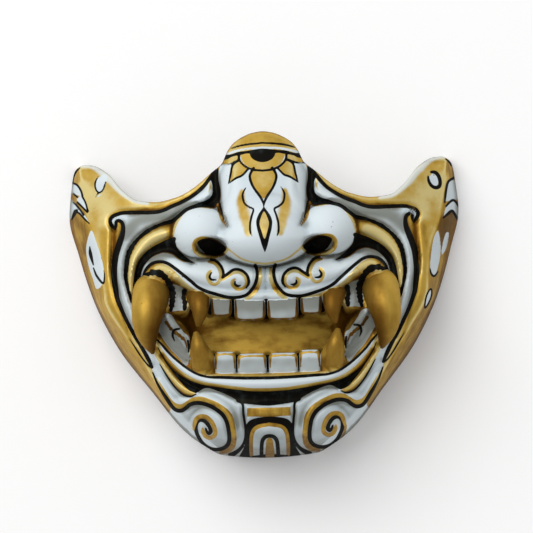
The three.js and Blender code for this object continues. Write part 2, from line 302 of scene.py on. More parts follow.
# %% Lips and mouth
MUZZLE = [(3, 9.5, 9), (20, 10, 13.5), (36, 12, 12), (50, 13, 9), (56, 12.5, 7)]
muzzle_rise = curve((0, 10), (36, 12), (56, 8))
mouth_top = curve((0, -3.5), (31, -1.5), (36, -1.5), (40, -6), (47, -7.5))
mouth_foot = curve(
    (0, -39.2), (30, -38.3), (36.5, -36), (38.8, -20.5), (41.5, -17.2), (45.3, -12.2), (48, -8.6),
)
MOUTH_CORNER = 48.0
MOUTH_SLOPE = 3.0
MOUTH_DEPTH = 20.0
CORNER_SLOPE = 4.0
CORNER_SHALLOW = 0.6  # the mouth is shallower by this share at its corners
CORNER_START = 33
CORNER_END = 44
LOWER_LIP = [
    (0, -43.5, 6), (15, -43, 6), (30, -41, 6), (41, -36, 6), (49, -29, 5), (54, -22, 4),
]
LIP_RISE = 5.0
UPPER_LIP_EDGE = [(0, 0, 4), (15, 0, 4), (28, 1.5, 4), (37, 5, 3.5), (44, 10, 3)]
EDGE_RISE = 3.6
GUM_RIDGE = [(49.5, -9.5, 2.5), (46.3, -13.6, 3), (42.6, -18.6, 3.2), (39.4, -23.5, 3.2)]
GUM_RISE = 2.5


def inside_mouth(x, y):
    """Distance inside the edge of the mouth opening, below zero outside it."""
    upright = np.minimum(mouth_top(x) - y, y - mouth_foot(x))
    return np.minimum(upright, MOUTH_CORNER - x)


# %% Folds, rolls and grooves
CHEEK_FOLD = [
    (27, 50, 4.5), (42, 43.5, 4.5), (57, 39.5, 5.5), (68, 33, 6), (72.5, 20, 4.5),
    (71.5, 6, 4), (66, -16, 4), (59, -31, 3.5),
]
INNER_ROLL = [(46, 33.5, 4.5), (57, 30, 5.5), (64, 23, 5), (67, 15, 4), (67.5, 4, 3)]
JAW_STRIP = [(56, -28.5, 3.5), (46, -41, 3.5), (37, -48.5, 3.5)]
SCROLL_ARM = [(55, -42, 3), (48, -53, 4), (34, -51, 4), (22, -57, 4), (18, -68, 4)]
DARK_GROOVES = [
    [(0, -51.5, 4.5), (15, -50, 4.5), (25, -46, 3), (40, -43, 4), (52, -29, 3)],
    [(37, 17, 3), (46, 24, 3.5), (56, 22, 3.5), (62, 17, 3.5), (64, 7, 2.5)],
    [(24, 62, 3), (24, 52, 3.5), (28, 46, 2.5)],
    [(75.5, 36, 2.5), (75, 10, 3), (64, -22, 2)],
]
SCROLL = ((28.5, -66.5), (12.5, 12.5))
CHIN_BOSS = ((0, -66), (12.5, 14))
FOLD_RISE = 3.6
STRIP_RISE = 2.5
SCROLL_RISE = 6.5
CHIN_RISE = 3.0
DARK_DEPTH = 2.2


def front(x, y):
    """Height of the front above the rim, before the chin is turned under."""
    height = dome(x, y) + muzzle_rise(x) * roll(x, y, MUZZLE)
    height += LIP_RISE * roll(x, y, LOWER_LIP) + EDGE_RISE * roll(x, y, UPPER_LIP_EDGE)
    height += FOLD_RISE * np.maximum(roll(x, y, CHEEK_FOLD), roll(x, y, INNER_ROLL))
    height += STRIP_RISE * np.maximum(roll(x, y, JAW_STRIP), roll(x, y, SCROLL_ARM))
    for rise, boss in ((SCROLL_RISE, SCROLL), (CHIN_RISE, CHIN_BOSS)):
        height += rise * (1 - np.clip(in_ellipse(x, y, *boss), 0, 1))
    height -= DARK_DEPTH * np.maximum.reduce([roll(x, y, route) for route in DARK_GROOVES])
    corner = step(CORNER_START, CORNER_END, x)
    depth = MOUTH_DEPTH * (1 - CORNER_SHALLOW * corner)
    height -= depth * step(-0.5, MOUTH_SLOPE + CORNER_SLOPE * corner, inside_mouth(x, y))
    height += GUM_RISE * roll(x, y, GUM_RIDGE)
    return with_nose(x, y, height)


# %% [markdown]
# ## The painted pattern
# The maker paints three colours with a brush: antique gold over everything, white on the raised
# forms, then gold accents and black lines. Each painted place is kept as a distance to its edge,
# positive inside. A distance stays sharp when it is read between two points of the mesh, so the
# lines come out crisp on a mesh that is coarser than the brush. Later paint covers earlier paint.

# %% Brush strokes as distances
REACH = 3.0  # distances are kept up to this far from an edge


class Paint:
    """White, gold and black paint over points of the face."""

    def __init__(self, x, y):
        self.x = np.abs(x)
        self.y = y
        self.within_reach = np.full(x.shape, True)
        self.field = {name: np.full(x.shape, -REACH) for name in ("white", "gold", "black")}
        self.field["gold"][:] = REACH

    def lay(self, colour, chosen, inside):
        for name, field in self.field.items():
            if name == colour:
                field[chosen] = np.maximum(field[chosen], inside)
            else:
                field[chosen] = np.minimum(field[chosen], -inside)

    def near(self, route, margin):
        low = route[:, :2].min(axis=0) - margin
        high = route[:, :2].max(axis=0) + margin
        across = (self.x > low[0]) & (self.x < high[0])
        return self.within_reach & across & (self.y > low[1]) & (self.y < high[1])

    def line(self, colour, width, *points, closed=False, ragged=0.0):
        """A brush line; a point's third number scales its width there."""
        full = [point if len(point) > 2 else (*point, 1.0) for point in points]
        route = smooth_route(full, closed)
        route[:, 2] *= 1 + ragged * np.random.default_rng(5).uniform(-1, 1, len(route))
        chosen = self.near(route, REACH + width)
        away, share = route_distance(self.x[chosen], self.y[chosen], route)
        self.lay(colour, chosen, np.clip(width * share / 2 - away, -REACH, REACH))

    def lines(self, colour, *strokes):
        """Several brush lines of one colour, each a width and then its points."""
        for width, *points in strokes:
            self.line(colour, width, *points)

    def area(self, colour, *points, smooth=True):
        """A filled place inside a closed outline."""
        if smooth:
            outline = smooth_route(points, closed=True)
        else:
            outline = np.array([*points, points[0]], float)
        chosen = self.near(outline, REACH)
        x, y = self.x[chosen], self.y[chosen]
        away, _ = route_distance(x, y, outline)
        within = np.zeros(x.shape, bool)
        for (ax, ay), (bx, by) in zip(outline[:-1], outline[1:]):
            crosses = (ay > y) != (by > y)
            if crosses.any():
                within ^= crosses & (x < ax + (y - ay) * (bx - ax) / (by - ay))
        self.lay(colour, chosen, np.clip(np.where(within, away, -away), -REACH, REACH))

    def oval(self, colour, centre, radii):
        """A filled ellipse, its distance worked out from the shorter radius."""
        share = np.sqrt(in_ellipse(self.x, self.y, centre, radii))
        inside = np.clip((1 - share) * min(radii), -REACH, REACH)
        self.lay(colour, self.within_reach, inside[self.within_reach])


# %% White places
def paint_white(paint):
    paint.area(  # nose, its wings and the upper lip
        "white", (-3, 71), (17, 70), (20, 67.5), (21.6, 64), (22.2, 58.5), (21.2, 52.2),
        (21.8, 47), (25, 43.6), (32.6, 44.2), (36.8, 43.3), (40.5, 40.4), (43.4, 35.8),
        (44.9, 31.3), (44.7, 28.3), (43, 24.2), (40, 20.8), (36.5, 17.8), (40.5, 17.4),
        (43.8, 19.2), (46.3, 21.3), (50.5, 22.2), (55.1, 20.8), (58.4, 18.3), (60.9, 15),
        (62.2, 10.4), (61.6, 8.5), (60, 12), (56, 15), (50, 13.5), (44.7, 9), (40.5, 4.3),
        (36.3, 1), (31.3, -1.6), (26.3, -2.5), (18.8, -3.3), (10.5, -3.8), (-3, -3.8),
    )
    paint.area(  # cheek fold
        "white", (25, 60), (36, 49), (45.5, 44.5), (53, 41.8), (63.4, 41.6), (72, 41.4),
        (75.8, 40), (76, 37), (74.6, 35.4), (74.9, 38.4), (72, 38.6), (70.2, 35), (71.6, 27),
        (74.6, 19), (75.2, 9), (72.2, -5), (67.2, -15.8), (62.2, -25), (57.6, -35),
        (57.2, -28.5), (63.4, -21.7), (66, -15), (67.2, -1.7), (69.2, 6.3), (69.7, 11),
        (68.2, 21), (63.4, 28.8), (55.1, 35), (46.3, 37.6), (38, 43.5), (30, 46), (25.5, 51),
    )
    paint.area(  # chin and jaw, out to the edge
        "white", (-3, -53), (13, -53), (20, -49.2), (31, -45), (36, -47.6), (40, -47),
        (46, -40), (51, -34), (56, -27), (60.5, -27), (57.5, -36.5), (55.8, -42.5),
        (53.3, -47), (50.8, -51), (49, -56), (51, -60), (46, -70), (36, -80), (22, -86), (-3, -87),
    )
    paint.line(  # lower lip
        "white", 5.0, (52.5, -25, 0.6), (47.5, -31.2, 0.8), (41.5, -36.8, 0.9), (35.5, -40.2),
        (28, -41.9), (15, -43.2), (0, -44),
    )


# %% Nose pattern
def paint_nose_flower(paint):
    paint.oval("gold", (0, 71), (11.2, 8.6))
    paint.area("gold", (10.6, 72), (20.6, 70), (21.4, 66.4), (17, 66), (12.5, 67.8))
    paint.line("black", 1.0, (21.8, 65.6), (17, 65.6), (12.8, 67.2))
    paint.area(  # side petal
        "gold", (11, 67), (14.6, 65), (16, 60.2), (16.7, 57), (13.6, 58.7), (10.3, 60.2),
        (7.8, 63),
    )
    paint.line("black", 1.1, (11.6, 67.5), (15, 65.1), (16.1, 60.5), (17.3, 55.8, 0.6))
    paint.line("black", 1.1, (17.2, 56, 0.6), (13.7, 58.4), (10.3, 59.9), (7.4, 63))
    paint.area(  # middle petal
        "gold", (-2, 62.4), (5, 62.6), (6.3, 58.6), (3.4, 52.7), (0, 48), (-2, 50),
    )
    paint.line(
        "black", 1.3, (4.6, 63.4), (6.6, 59.4), (5.2, 54.3), (1.6, 48.8), (0, 45.3, 0.9),
        (0, 44, 0.6),
    )
    paint.line("black", 1.2, (12, 70.5), (11.3, 67), (8.6, 64.2), (4.6, 62.5), (0, 62))
    paint.oval("black", (0, 71), (6.4, 4.8))


def paint_nose_cap(paint):
    paint.area("gold", (-3, 84), (12, 84), (24, 75), (19.6, 70), (10.3, 71.8), (-3, 72.4))
    paint.line("white", 1.0, (0, 73.5), (9, 73), (18, 70.9))
    paint.line("black", 1.9, (0, 71.9), (10.3, 71.1), (19.6, 68.8), ragged=0.3)
    paint.line("black", 1.1, (0, 75.9), (9.5, 75), (16, 73.4, 0.8))


def paint_nose_stem(paint):
    paint.line(
        "black", 1.1, (8.8, 53.6, 0.5), (10.4, 50.2), (9.6, 46), (7.2, 43.9), (5.2, 42.7, 0.9),
        (6.2, 39.2), (7, 35.5), (7, 31.7), (6.2, 29.2, 0.4),
    )
    paint.area("black", (-2, 43.5), (1.5, 42), (4, 36.3), (2.3, 28), (0, 21.3), (-2, 24))
    paint.area("gold", (-2, 41), (0, 41.6), (1.6, 38.5), (2.3, 35.3), (1.2, 31), (0, 28), (-2, 30))


# %% Round the nose
def paint_nose_edges(paint):
    paint.area(  # black band beside the bridge
        "black", (22.3, 64), (26.5, 60.5), (25.3, 55.2), (25.7, 50.6), (28.4, 48.1),
        (33, 46.6), (36, 45), (30.5, 44.4), (25.5, 44.3), (22.3, 46.5), (21.3, 52.2),
        (22.3, 58.5),
    )
    paint.line("gold", 1.1, (27.3, 59.3, 0.5), (26.6, 55), (27.2, 51.6, 0.5))
    paint.line("gold", 1.3, (22.9, 45.6), (22.2, 42), (20.9, 37.9), (18.2, 34, 0.5))
    paint.line("black", 1.1, (22, 46.4), (21, 42, 0.9), (19.8, 38, 0.7), (17.2, 34.4, 0.3))
    paint.line(  # gold rim of the nostril
        "gold", 2.4, (15.5, 21.2, 0.4), (19.2, 24, 0.5), (24, 27.6, 0.5), (29.5, 29.2, 0.6),
        (33.6, 28.2, 0.9), (35, 25.4), (33.7, 22), (30, 20.3), (25.5, 19.9, 0.9),
        (21, 21.2, 0.8), (18.2, 23.2, 0.6),
    )
    paint.area(
        "black", (33.4, 27.3), (29.7, 28.9), (25.5, 28.1), (21.3, 25.8), (18.8, 23.6),
        (21.3, 21.4), (25.5, 20.3), (29.7, 21.6), (32.4, 24.5),
    )
    paint.line("gold", 1.0, (19, 24.2), (14.3, 20.2), (10.5, 17.8), (5.5, 16.4), (0, 15.6))
    paint.area(  # dark place between the nose and the upper lip
        "black", (45.3, 29.5), (50, 26.5), (55.5, 24), (60, 20.5), (62.5, 16), (63.6, 10),
        (64.6, 4), (62.6, 7.5), (62.1, 11.5), (60.7, 15.4), (58.2, 18.7), (55, 21.2),
        (50.5, 22.6), (46, 21.8), (43, 19.2), (40, 17.8), (34.3, 16.4), (37.5, 18.6),
        (40.4, 20.9), (43.4, 24.1),
    )


# %% Upper lip
MUZZLE_LINE = [
    (61, 8.6, 0.5), (60.5, 12.3, 0.8), (58.6, 15.3), (55.9, 17.3), (52.2, 17.9), (48.8, 17.1),
    (45.1, 14.6), (40.5, 10.8), (36.3, 7.1), (33.8, 4.9), (29.7, 2.7), (25.5, 1.3),
    (21.3, 0), (17.2, -0.8), (13, -0.6), (9.7, 0.4), (7.2, 2.6), (5.1, 6), (4.1, 10),
    (4.4, 13.3), (5, 15),
]
MUZZLE_GOLD = [
    (59.5, 10.5, 0.7), (57.2, 14.4, 1.3), (53, 15.6, 1.5), (48.8, 14, 1.6), (44.7, 10.4, 1.5),
    (40.5, 6.2, 1.3), (36.3, 3.2), (33.8, 1.9), (28.8, 0), (21.3, -1.9), (15, -2.7),
    (10.5, -2.2), (6.8, 0.3), (4.1, 3.8), (2.6, 8.3), (2.5, 13.3, 0.7),
]


def paint_upper_lip(paint):
    paint.line("gold", 2.0, *MUZZLE_GOLD)
    paint.line("black", 1.7, *MUZZLE_LINE)
    paint.lines(
        "gold", (1.6, (28.2, 17.3, 0.7), (24.9, 16.2), (22.8, 13.3), (22.3, 10), (23.1, 7.4),
                 (25.1, 6), (27.5, 6.8), (28.7, 9.2), (28.4, 11.6), (26.9, 12.9, 0.6)),
        (1.6, (21.2, 8.4), (18.8, 9.8), (16.3, 11.3), (13.4, 11.7), (10.9, 10.4), (9.7, 7.9),
         (9.9, 5.1), (11.8, 3.5), (14.3, 3.4), (16.2, 5), (16.8, 7.1), (15.2, 8.4, 0.6)),
    )
    paint.lines(
        "black", (1.5, (27, 18.4, 0.9), (24.7, 17.8), (22.3, 15.4), (21, 12.5), (20.9, 9.6)),
        (1.5, (21.3, 9.4), (18.8, 11), (16.3, 12.8), (13.8, 13.2), (10.9, 12), (8.9, 9.6),
         (8.4, 6.3), (9.7, 3.9, 0.6)),
        (1.3, (26.8, 11.9, 0.6), (27.8, 9.8), (26.8, 8.4), (24.6, 8.2, 0.6)),
        (1.3, (15.2, 7.3, 0.6), (15.2, 5.8), (13.9, 4.9), (12.6, 5.1, 0.6)),
    )


# %% Cheeks
def paint_cheeks(paint):
    paint.line(  # upper line with its hook
        "black", 2.0, (25, 61), (30.5, 54.2), (36, 50), (41, 47.3), (45.5, 45.5), (49.3, 43.8),
        (53, 42.8), (58, 42.6), (63.4, 42.8), (69.7, 42.8), (73, 42.2), (75.9, 40.9),
        (77, 38.9), (76.3, 36.7), (74.9, 35.2, 0.7),
    )
    paint.line(  # its return, down the outer side of the fold
        "black", 2.0, (74.6, 34.6, 0.7), (74, 36.6, 0.8), (73.9, 38.3, 0.9), (72.5, 39, 0.9),
        (71, 37.9), (70.4, 35.4, 1.1), (70.9, 32, 1.4), (72, 29, 1.6), (73.4, 25, 1.6),
        (74.6, 21, 1.6), (75.4, 15, 1.6), (75.4, 9.4, 1.5), (74.8, 4, 1.4), (74.2, 0, 1.2),
        (72.4, -5, 1.1), (69.9, -10.8), (67.4, -15.8), (64.9, -20.4), (62.3, -25),
        (59.7, -30, 1.1), (57.6, -34.6, 0.7),
    )
    paint.line(
        "black", 0.9, (57.8, -35), (60, -33.2), (63, -29.2), (65.5, -25.2), (68.4, -20.4, 0.4),
    )
    paint.line(  # lower line, clean beside the nose and rough along the roll
        "black", 2.0, (25, 47.4, 1.6), (29, 45.8, 1.2), (33, 45.2), (38, 43.8), (42.2, 40.6),
        (46, 37.8), (50, 37, 0.9),
    )
    paint.line(
        "black", 2.0, (46, 37.8), (50, 37, 0.9), (55.1, 35, 0.9), (59.3, 32.6), (63.4, 29.2),
        (66.6, 25, 1.2), (68.4, 20.8, 1.3), (69.3, 15, 1.2), (69.7, 10.8), (69, 6.3, 0.9),
        (68, 2.1, 0.8), (67, -1.7, 0.7), ragged=0.15,
    )
    paint.line(  # inner line of the gold roll
        "black", 2.6, (45, 29, 0.8), (50.1, 26.9), (55.1, 24.4), (58.8, 21.7), (61.6, 18.3),
        (63.4, 14.5), (64.4, 10), (65, 5), (65.5, 2, 0.6),
    )


# %% Lower lip, jaw and chin
def paint_lower_lip(paint):
    paint.area(  # black groove under the lip
        "black", (-3, -47.6), (10, -47.2), (24, -45), (33, -42.8), (41.5, -38.5), (47.5, -32.5),
        (52.5, -26), (54.6, -24.6), (52, -30.5), (46.5, -38.5), (41, -45.2), (38, -47.2),
        (35.5, -47.7), (31, -45.5), (25.5, -47), (20, -49.5), (15.5, -52), (13, -53.5), (-3, -54.7),
    )
    paint.line(  # gold edge under the white band
        "gold", 1.6, (54, -24, 0.5), (50.5, -30), (45.5, -36, 1.3), (40.5, -39.6, 1.2),
        (35.5, -42), (30, -43.5), (23, -44.7), (14.7, -45.9), (8.4, -46.7), (0, -47),
    )
    paint.line(
        "gold", 1.3, (53, -18.8, 0.6), (48.8, -25.4), (45.1, -29.2), (40.5, -33.2), (35.5, -37),
        (30, -38.5), (18.8, -39), (0, -39.3),
    )
    paint.line(
        "black", 1.6, (55, -20.6, 0.6), (52.2, -23.6, 0.8), (49.3, -27.2, 0.8),
        (45.5, -31, 0.8), (40.5, -35.1, 0.8), (35.5, -38.2, 0.8), (30, -39.9, 0.8), (23, -40.3),
        (10.5, -40.9), (0, -41.1),
    )


def paint_jaw(paint):
    paint.area(  # leaf beside the dark groove
        "gold", (56.5, -27.6), (53.8, -28.8), (48.4, -36), (43.8, -42.8), (40.4, -46.6),
        (36.6, -47.7), (38, -49), (42, -48.3), (46.5, -43.8), (51, -37), (54.5, -31.5),
    )
    paint.line(
        "black", 1.0, (53.8, -33, 0.5), (50.7, -38.5), (46.6, -44.6), (42.6, -48.5),
        (39, -49.6), (36, -48.4, 0.6),
    )
    paint.line(
        "gold", 1.9, (55.8, -40.5, 0.6), (52.6, -46), (49.2, -51.4), (46.6, -53.9, 1.2),
        (43.5, -54.6, 1.3), (40.5, -52.9, 1.1), (37.5, -51.2, 1.2), (33.5, -50.9, 1.3),
        (29, -52.4, 1.3), (24.7, -54.6, 1.3), (21, -57.7, 1.4), (19.1, -61, 1.5),
        (18.2, -66, 1.5), (17.8, -70.5, 1.5), (18.4, -74.5, 1.5), (20.7, -77.2, 1.5),
        (24.5, -78.6),
    )
    paint.line(
        "black", 2.1, (57.4, -37.3, 0.4), (55.5, -42.3, 0.6), (53, -46.9, 0.8), (50.5, -51),
        (48, -54.8), (46, -56.4), (43.5, -56.6), (41.3, -55.3), (39.3, -53.7), (36.5, -52.9),
        (33.5, -53), (30, -54.1), (26.5, -56), (23.3, -58.6), (21.3, -62), (20.3, -66.5),
        (20, -70.5), (20.6, -73.6), (22.7, -75.8), (26.5, -76.9), (30.5, -76.2), (33.5, -73.7),
        (35.6, -70), (36.6, -66.5), (36.4, -63.5), (35, -61.6), (33, -61.5), (31, -63),
        (29.6, -65.5), (29.2, -67.3), (30.2, -68.4, 0.8), (31.2, -67.2, 0.7), (31.6, -65.8, 0.5),
    )
    paint.line(
        "gold", 2.2, (37.9, -66.5, 0.4), (37.4, -64, 0.8), (36.3, -61), (34, -59.6), (31, -60.1),
        (28.6, -62.5), (27.1, -66), (27.2, -69), (29.5, -70.6), (31.9, -69.7), (33, -67.2),
        (33.2, -65.8, 0.5),
    )


def paint_chin(paint):
    paint.line(
        "black", 1.3, (15.5, -52.2), (13, -53.8), (12.7, -58.5), (11.9, -65), (11.9, -70),
        (13.2, -74), (16, -77.2), (20.5, -79.6),
    )
    paint.area("black", (-3, -60.4), (6, -60.9), (10.6, -63), (12.4, -68), (12.6, -75),
               (16, -83), (8.8, -84), (9, -72), (8.2, -67.6), (5, -64.8), (-3, -63.8))
    paint.line("gold", 1.9, (9.2, -80), (9.2, -74), (8.5, -68.6), (6, -65.5), (0, -64.3))
    paint.area("gold", (-3, -55.9), (10.8, -55.9), (10.9, -60.2), (-3, -60.4), smooth=False)
    paint.line("black", 2.0, (4.2, -82), (4.1, -77), (3.6, -72.6), (2, -70.5), (0, -70))
    paint.line("black", 1.6, (13.5, -75), (16.5, -78.5), (22, -81.5), (30, -80), (38, -74.5, 0.4))
    paint.area("gold", (-3, -71.4), (1, -71.5), (1.9, -75), (2.2, -84), (-3, -84))
    paint.area("black", (2.2, -79.6), (9, -80.4), (9, -88), (2.2, -88), smooth=False)


# %% Side panels, and the drop on the wing
def paint_side_panels(paint):
    paint.line("black", 1.1, (91.6, 66, 0.6), (93.6, 64.4), (95, 62), (95.8, 59, 0.6))
    paint.oval("white", (81.8, 57.2), (2.0, 3.7))
    paint.area("white", (81.6, 61), (79.4, 62.4), (77.6, 60.6), (79.8, 56.6), (82, 58))
    paint.line(  # drop on the wing
        "black", 0.9, (82.4, 61.4, 0.6), (83.8, 59), (84.2, 56.4), (83.3, 54), (81.9, 53.2),
        (80.2, 54.6), (79.4, 56.6), (78.8, 58.4, 0.9),
    )
    paint.line("black", 0.9, (82.4, 53.2), (83.4, 52, 0.8), (84.2, 50.4, 0.4))
    paint.line("white", 0.9, (80.9, 52.6, 0.5), (82.2, 51.8), (83.2, 50.6, 0.4))
    paint.area(  # three leaves, one under the other
        "white", (97, 58), (94, 57.4), (92, 54.4), (91.2, 51.4), (93.2, 52.4), (99, 54),
    )
    paint.area("white", (93.6, 50.6), (91.4, 51.2), (89.6, 48.4), (88.4, 44.6), (92.6, 48.4))
    paint.area(
        "white", (99.5, 52), (95.8, 49.8), (93.2, 46.8), (90.4, 43.2), (87.6, 38.4), (90.6, 41),
        (93.4, 44.6), (95.6, 44.6), (97.4, 40), (99.5, 44),
    )
    paint.area("black", (97, 39.6), (94.6, 42), (93, 44.8), (95.2, 44.8))
    paint.lines(
        "black", (1.1, (98, 59), (95.4, 58.4), (93.2, 57.2), (91.4, 54.4), (90.6, 51.6)),
        (1.0, (90.8, 51.6), (89.2, 48.4), (88, 44)), (1.0, (98, 53.6), (95.6, 53.2), (93.2, 51.2)),
        (1.0, (93.4, 48.8), (91.2, 46.6), (88.4, 43.6)),
        (1.0, (98.6, 50.4), (95.4, 48.6), (92.4, 45.4), (90.2, 42.4)),
        (1.0, (95, 44.6), (92.4, 43), (90, 40.4), (87.4, 37.8, 0.6)),
    )
    paint.area(
        "white", (86.4, 34.4), (88.7, 29.6), (89.5, 24.2), (88.6, 17), (86.6, 10.6), (84.6, 5),
        (81, 8), (80.4, 12), (81.6, 20), (84.1, 28.3),
    )
    paint.line("black", 1.9, (87.6, 26.4, 0.3), (87.3, 22.5), (86, 17.2, 0.4))
    paint.line("black", 1.2, (86, 15.6, 0.6), (84.4, 11.6), (81.2, 7.8, 0.9), (80.4, 11, 0.6),
               (80.6, 14.6, 0.3))


def paint_right_panel(paint, right):
    """The right side has its own marks, painted over the mirrored ones."""
    paint.within_reach = right
    paint.area("gold", (87, 36), (87, 46), (89, 54), (92, 61), (101, 61), (101, 34), (94, 36))
    paint.area("gold", (78, 36), (92, 36), (93.5, 20), (88, 2), (78, 2))
    paint.area(
        "white", (91.6, 52.5), (93.4, 54.8), (99, 54.6), (100, 47), (96.2, 45.6), (92.2, 44.8),
        (91, 45.2), (91.2, 49.5),
    )
    paint.area(
        "white", (91, 41.4), (94, 44.2), (95.6, 44.6), (97.6, 42), (99, 37.6), (98, 34.6),
        (94.8, 39.6), (92, 38.2), (90.2, 36.8),
    )
    paint.line("black", 1.3, (96, 56.6), (92.8, 54.6), (91.6, 51), (91, 47.6), (90.6, 44.2, 0.7))
    paint.line("black", 1.3, (91.2, 42.2, 0.7), (94.2, 45), (96.2, 44.6), (98.6, 41))
    paint.line("black", 1.4, (89.6, 36.4, 0.6), (91.8, 38.2), (94.2, 39.9), (95.8, 38), (98.4, 33.6))
    paint.area(
        "white", (86.8, 30), (84.6, 26.5), (83.2, 20), (82.4, 13.6), (82.6, 9.6), (84.4, 7.6),
        (86.2, 11), (87.6, 17), (88, 23),
    )
    paint.line("black", 1.1, (82.2, 11.4, 0.5), (82.8, 8.6), (84.4, 7.4), (86.4, 9.6, 0.5))
    paint.area("white", (92.4, 29), (90.6, 28.4), (88.8, 22), (88.6, 18), (90.6, 20.6), (92, 25))
    small_leaf = ((82.6, 1), (82.8, -2), (81.2, -6), (79.2, -8.4), (79.6, -4), (81, -0.4))
    paint.area("white", *small_leaf)
    paint.line("black", 0.9, *small_leaf, closed=True)
    paint.oval("gold", (82.2, 56.3), (5.2, 7.2))
    paint.oval("white", (85.4, 55.4), (2.4, 3.4))
    paint.line(  # ring on the wing
        "black", 1.9, (84.1, 59.5, 0.7), (86.1, 59.3), (87.7, 57.6), (88.5, 54.8), (88.1, 52.3),
        (86.2, 51.6), (84.2, 52.6, 0.9), (82.9, 54.7, 0.8), (82.4, 57.4, 0.6),
    )
    paint.line(  # gold beside the chin scroll
        "gold", 1.3, (37.8, -64, 0.7), (38.2, -67), (37.3, -70.9), (35, -74.8), (31.4, -77.7),
        (27, -78.7),
    )
    paint.within_reach = np.full(right.shape, True)


# %% Inside the mouth
TOOTH_GAPS = [
    ((0, -3), (0, -10.8)), ((16.5, -3), (16.5, -9.4)), ((28, -3), (28, -8)),
    ((0, -31), (0, -36)), ((15.4, -30.6), (15.4, -35.8)), ((26.9, -30), (26.6, -35.2)),
]
lip_edge = curve((0, -38.5), (18.8, -38.2), (30, -37.6), (35.5, -36.2), (40.5, -32.4), (45, -28.4))


def paint_mouth(paint):
    for gap in TOOTH_GAPS:
        paint.line("black", 2.6, *gap)
    paint.line("white", 2.0, (0, -37.8), (15, -37.6), (26, -37), (33, -35, 0.8), (38, -30.5, 0.8))
    paint.area(  # inner lip at the corner
        "white", (40.5, 3.4), (45.8, 6.5), (47.6, 4), (48.4, -6), (44, -6.6), (40.5, -5.6),
    )
    paint.area(  # gum below the corner
        "white", (38.6, -21), (41.3, -17.6), (44.9, -12.6), (48, -8.2), (53, -9), (54, -15.6),
        (52.6, -19), (48.5, -25.3), (44.5, -29.7), (39.8, -33.8),
    )
    paint.line("gold", 1.8, (50, -12.2, 0.8), (48.8, -14), (47.6, -15.8, 0.8), ragged=0.3)
    paint.line("gold", 2.0, (45.8, -17.3, 0.8), (43.8, -18.8), (41.7, -20.7, 0.8), ragged=0.3)
    paint.line("gold", 0.8, (41, -21.4), (40.3, -23.4), (40, -25.4, 0.5))
    paint.line("black", 2.4, (40.5, 3), (41, 0), (40.4, -3), (40.7, -5.8, 0.7), ragged=0.25)
    paint.line("black", 1.2, (43.6, -15.7), (46.2, -16.3), (47, -18.8), (46.1, -21.7, 0.5))
    paint.line("black", 1.2, (39.4, -21.8), (39, -24.5), (39.2, -27.4, 0.6))
    paint.line(  # black edge round the root of the tusk
        "black", 3.2, (62.5, 8.6, 0.6), (59.5, 11.2, 0.8), (55.9, 12.7, 0.9), (51.8, 11.6),
        (48.7, 8.4), (46.9, 4), (46.6, 0), (47, -3.6, 0.9), (47.6, -6.6, 0.5), ragged=0.3,
    )


def paint_everything(x, y):
    paint = Paint(x, y)
    paint_white(paint)
    paint_nose_edges(paint)
    paint_upper_lip(paint)
    paint_cheeks(paint)
    paint_lower_lip(paint)
    paint_jaw(paint)
    paint_chin(paint)
    paint_mouth(paint)
    carved = paint.field["black"].copy()
    paint_side_panels(paint)
    paint_right_panel(paint, x > 0)
    paint_nose_flower(paint)
    paint_nose_cap(paint)
    paint_nose_stem(paint)
    return paint, carved


# %% [markdown]
# ## Carving along the lines
# The black lines of the face run in shallow grooves, and the surface rounds down into them, so
# each white or gold place is slightly pillowed. The groove is worked out from the distance to the
# black paint, so carving and paint always agree. The pattern on the nose and the marks on the side
# panels are only painted. The top edge of the mask is rounded as a cast edge is.

# %% Height of the finished front
GROOVE_DEPTH = 0.85
GROOVE_RUN = 1.7
EDGE_ROUND = 2.4


def finished_front(x, y):
    _, carved = paint_everything(x, y)
    x = np.abs(x)
    height = front(x, y) - GROOVE_DEPTH * step(GROOVE_RUN, 0, -carved)
    to_edge = np.clip((top_at(x) - y) / EDGE_ROUND, 0, 1)
    rounding = EDGE_ROUND * (1 - np.sqrt(1 - (1 - to_edge) ** 2))
    return np.where(is_outside(x, y), -BELOW, turn_under(x, y, height) - rounding)


# %% [markdown]
# ## One casting from blocks
# The front is a fine grid moved onto the form, closed below into a block. Teeth, fangs and tusks
# are joined to it, and a second, coarser block hollows it out from behind, so that the wall
# keeps its thickness. The Boolean modifier does this as a foundry's core does.

# %% An object from a bmesh
def add_piece(name, mesh_data):
    """Makes an object of a finished bmesh, which is used up."""
    mesh = bpy.data.meshes.new(name)
    mesh_data.to_mesh(mesh)
    mesh_data.free()
    piece = bpy.data.objects.new(name, mesh)
    bpy.context.collection.objects.link(piece)
    print(name, "has", len(mesh.polygons), "faces")
    return piece


# %% A grid laid over the face
COLUMNS = 336
ROWS = 254
FRONT_SHARE = 0.8  # share of the columns in front of the side ridge
ROW_SPACING = 1.15  # above one, the rows lie closer at the chin
CHIN_SPREAD = (22, 5)  # how far to the side the front's and the panels' lowest rows begin
FIRST_GUESS = 80
PLACING_ROUNDS = 8  # x and y depend on one another, and settle in a few rounds


def place_on_face(across, along, inset, reach):
    """Drawing place of a share across and a share along the face."""
    share = np.abs(across)
    inner = np.minimum(share / FRONT_SHARE, 1)
    outer = np.maximum((share - FRONT_SHARE) / (1 - FRONT_SHARE), 0)
    foot = chin_at(inner * CHIN_SPREAD[0] + outer * CHIN_SPREAD[1]) + inset
    x = inner * FIRST_GUESS
    for _ in range(PLACING_ROUNDS):
        y = foot + (top_at(x) + reach - foot) * along
        x = inner * ridge_at(y) + outer * (side_at(y) - ridge_at(y))
    return np.sign(across) * x, y


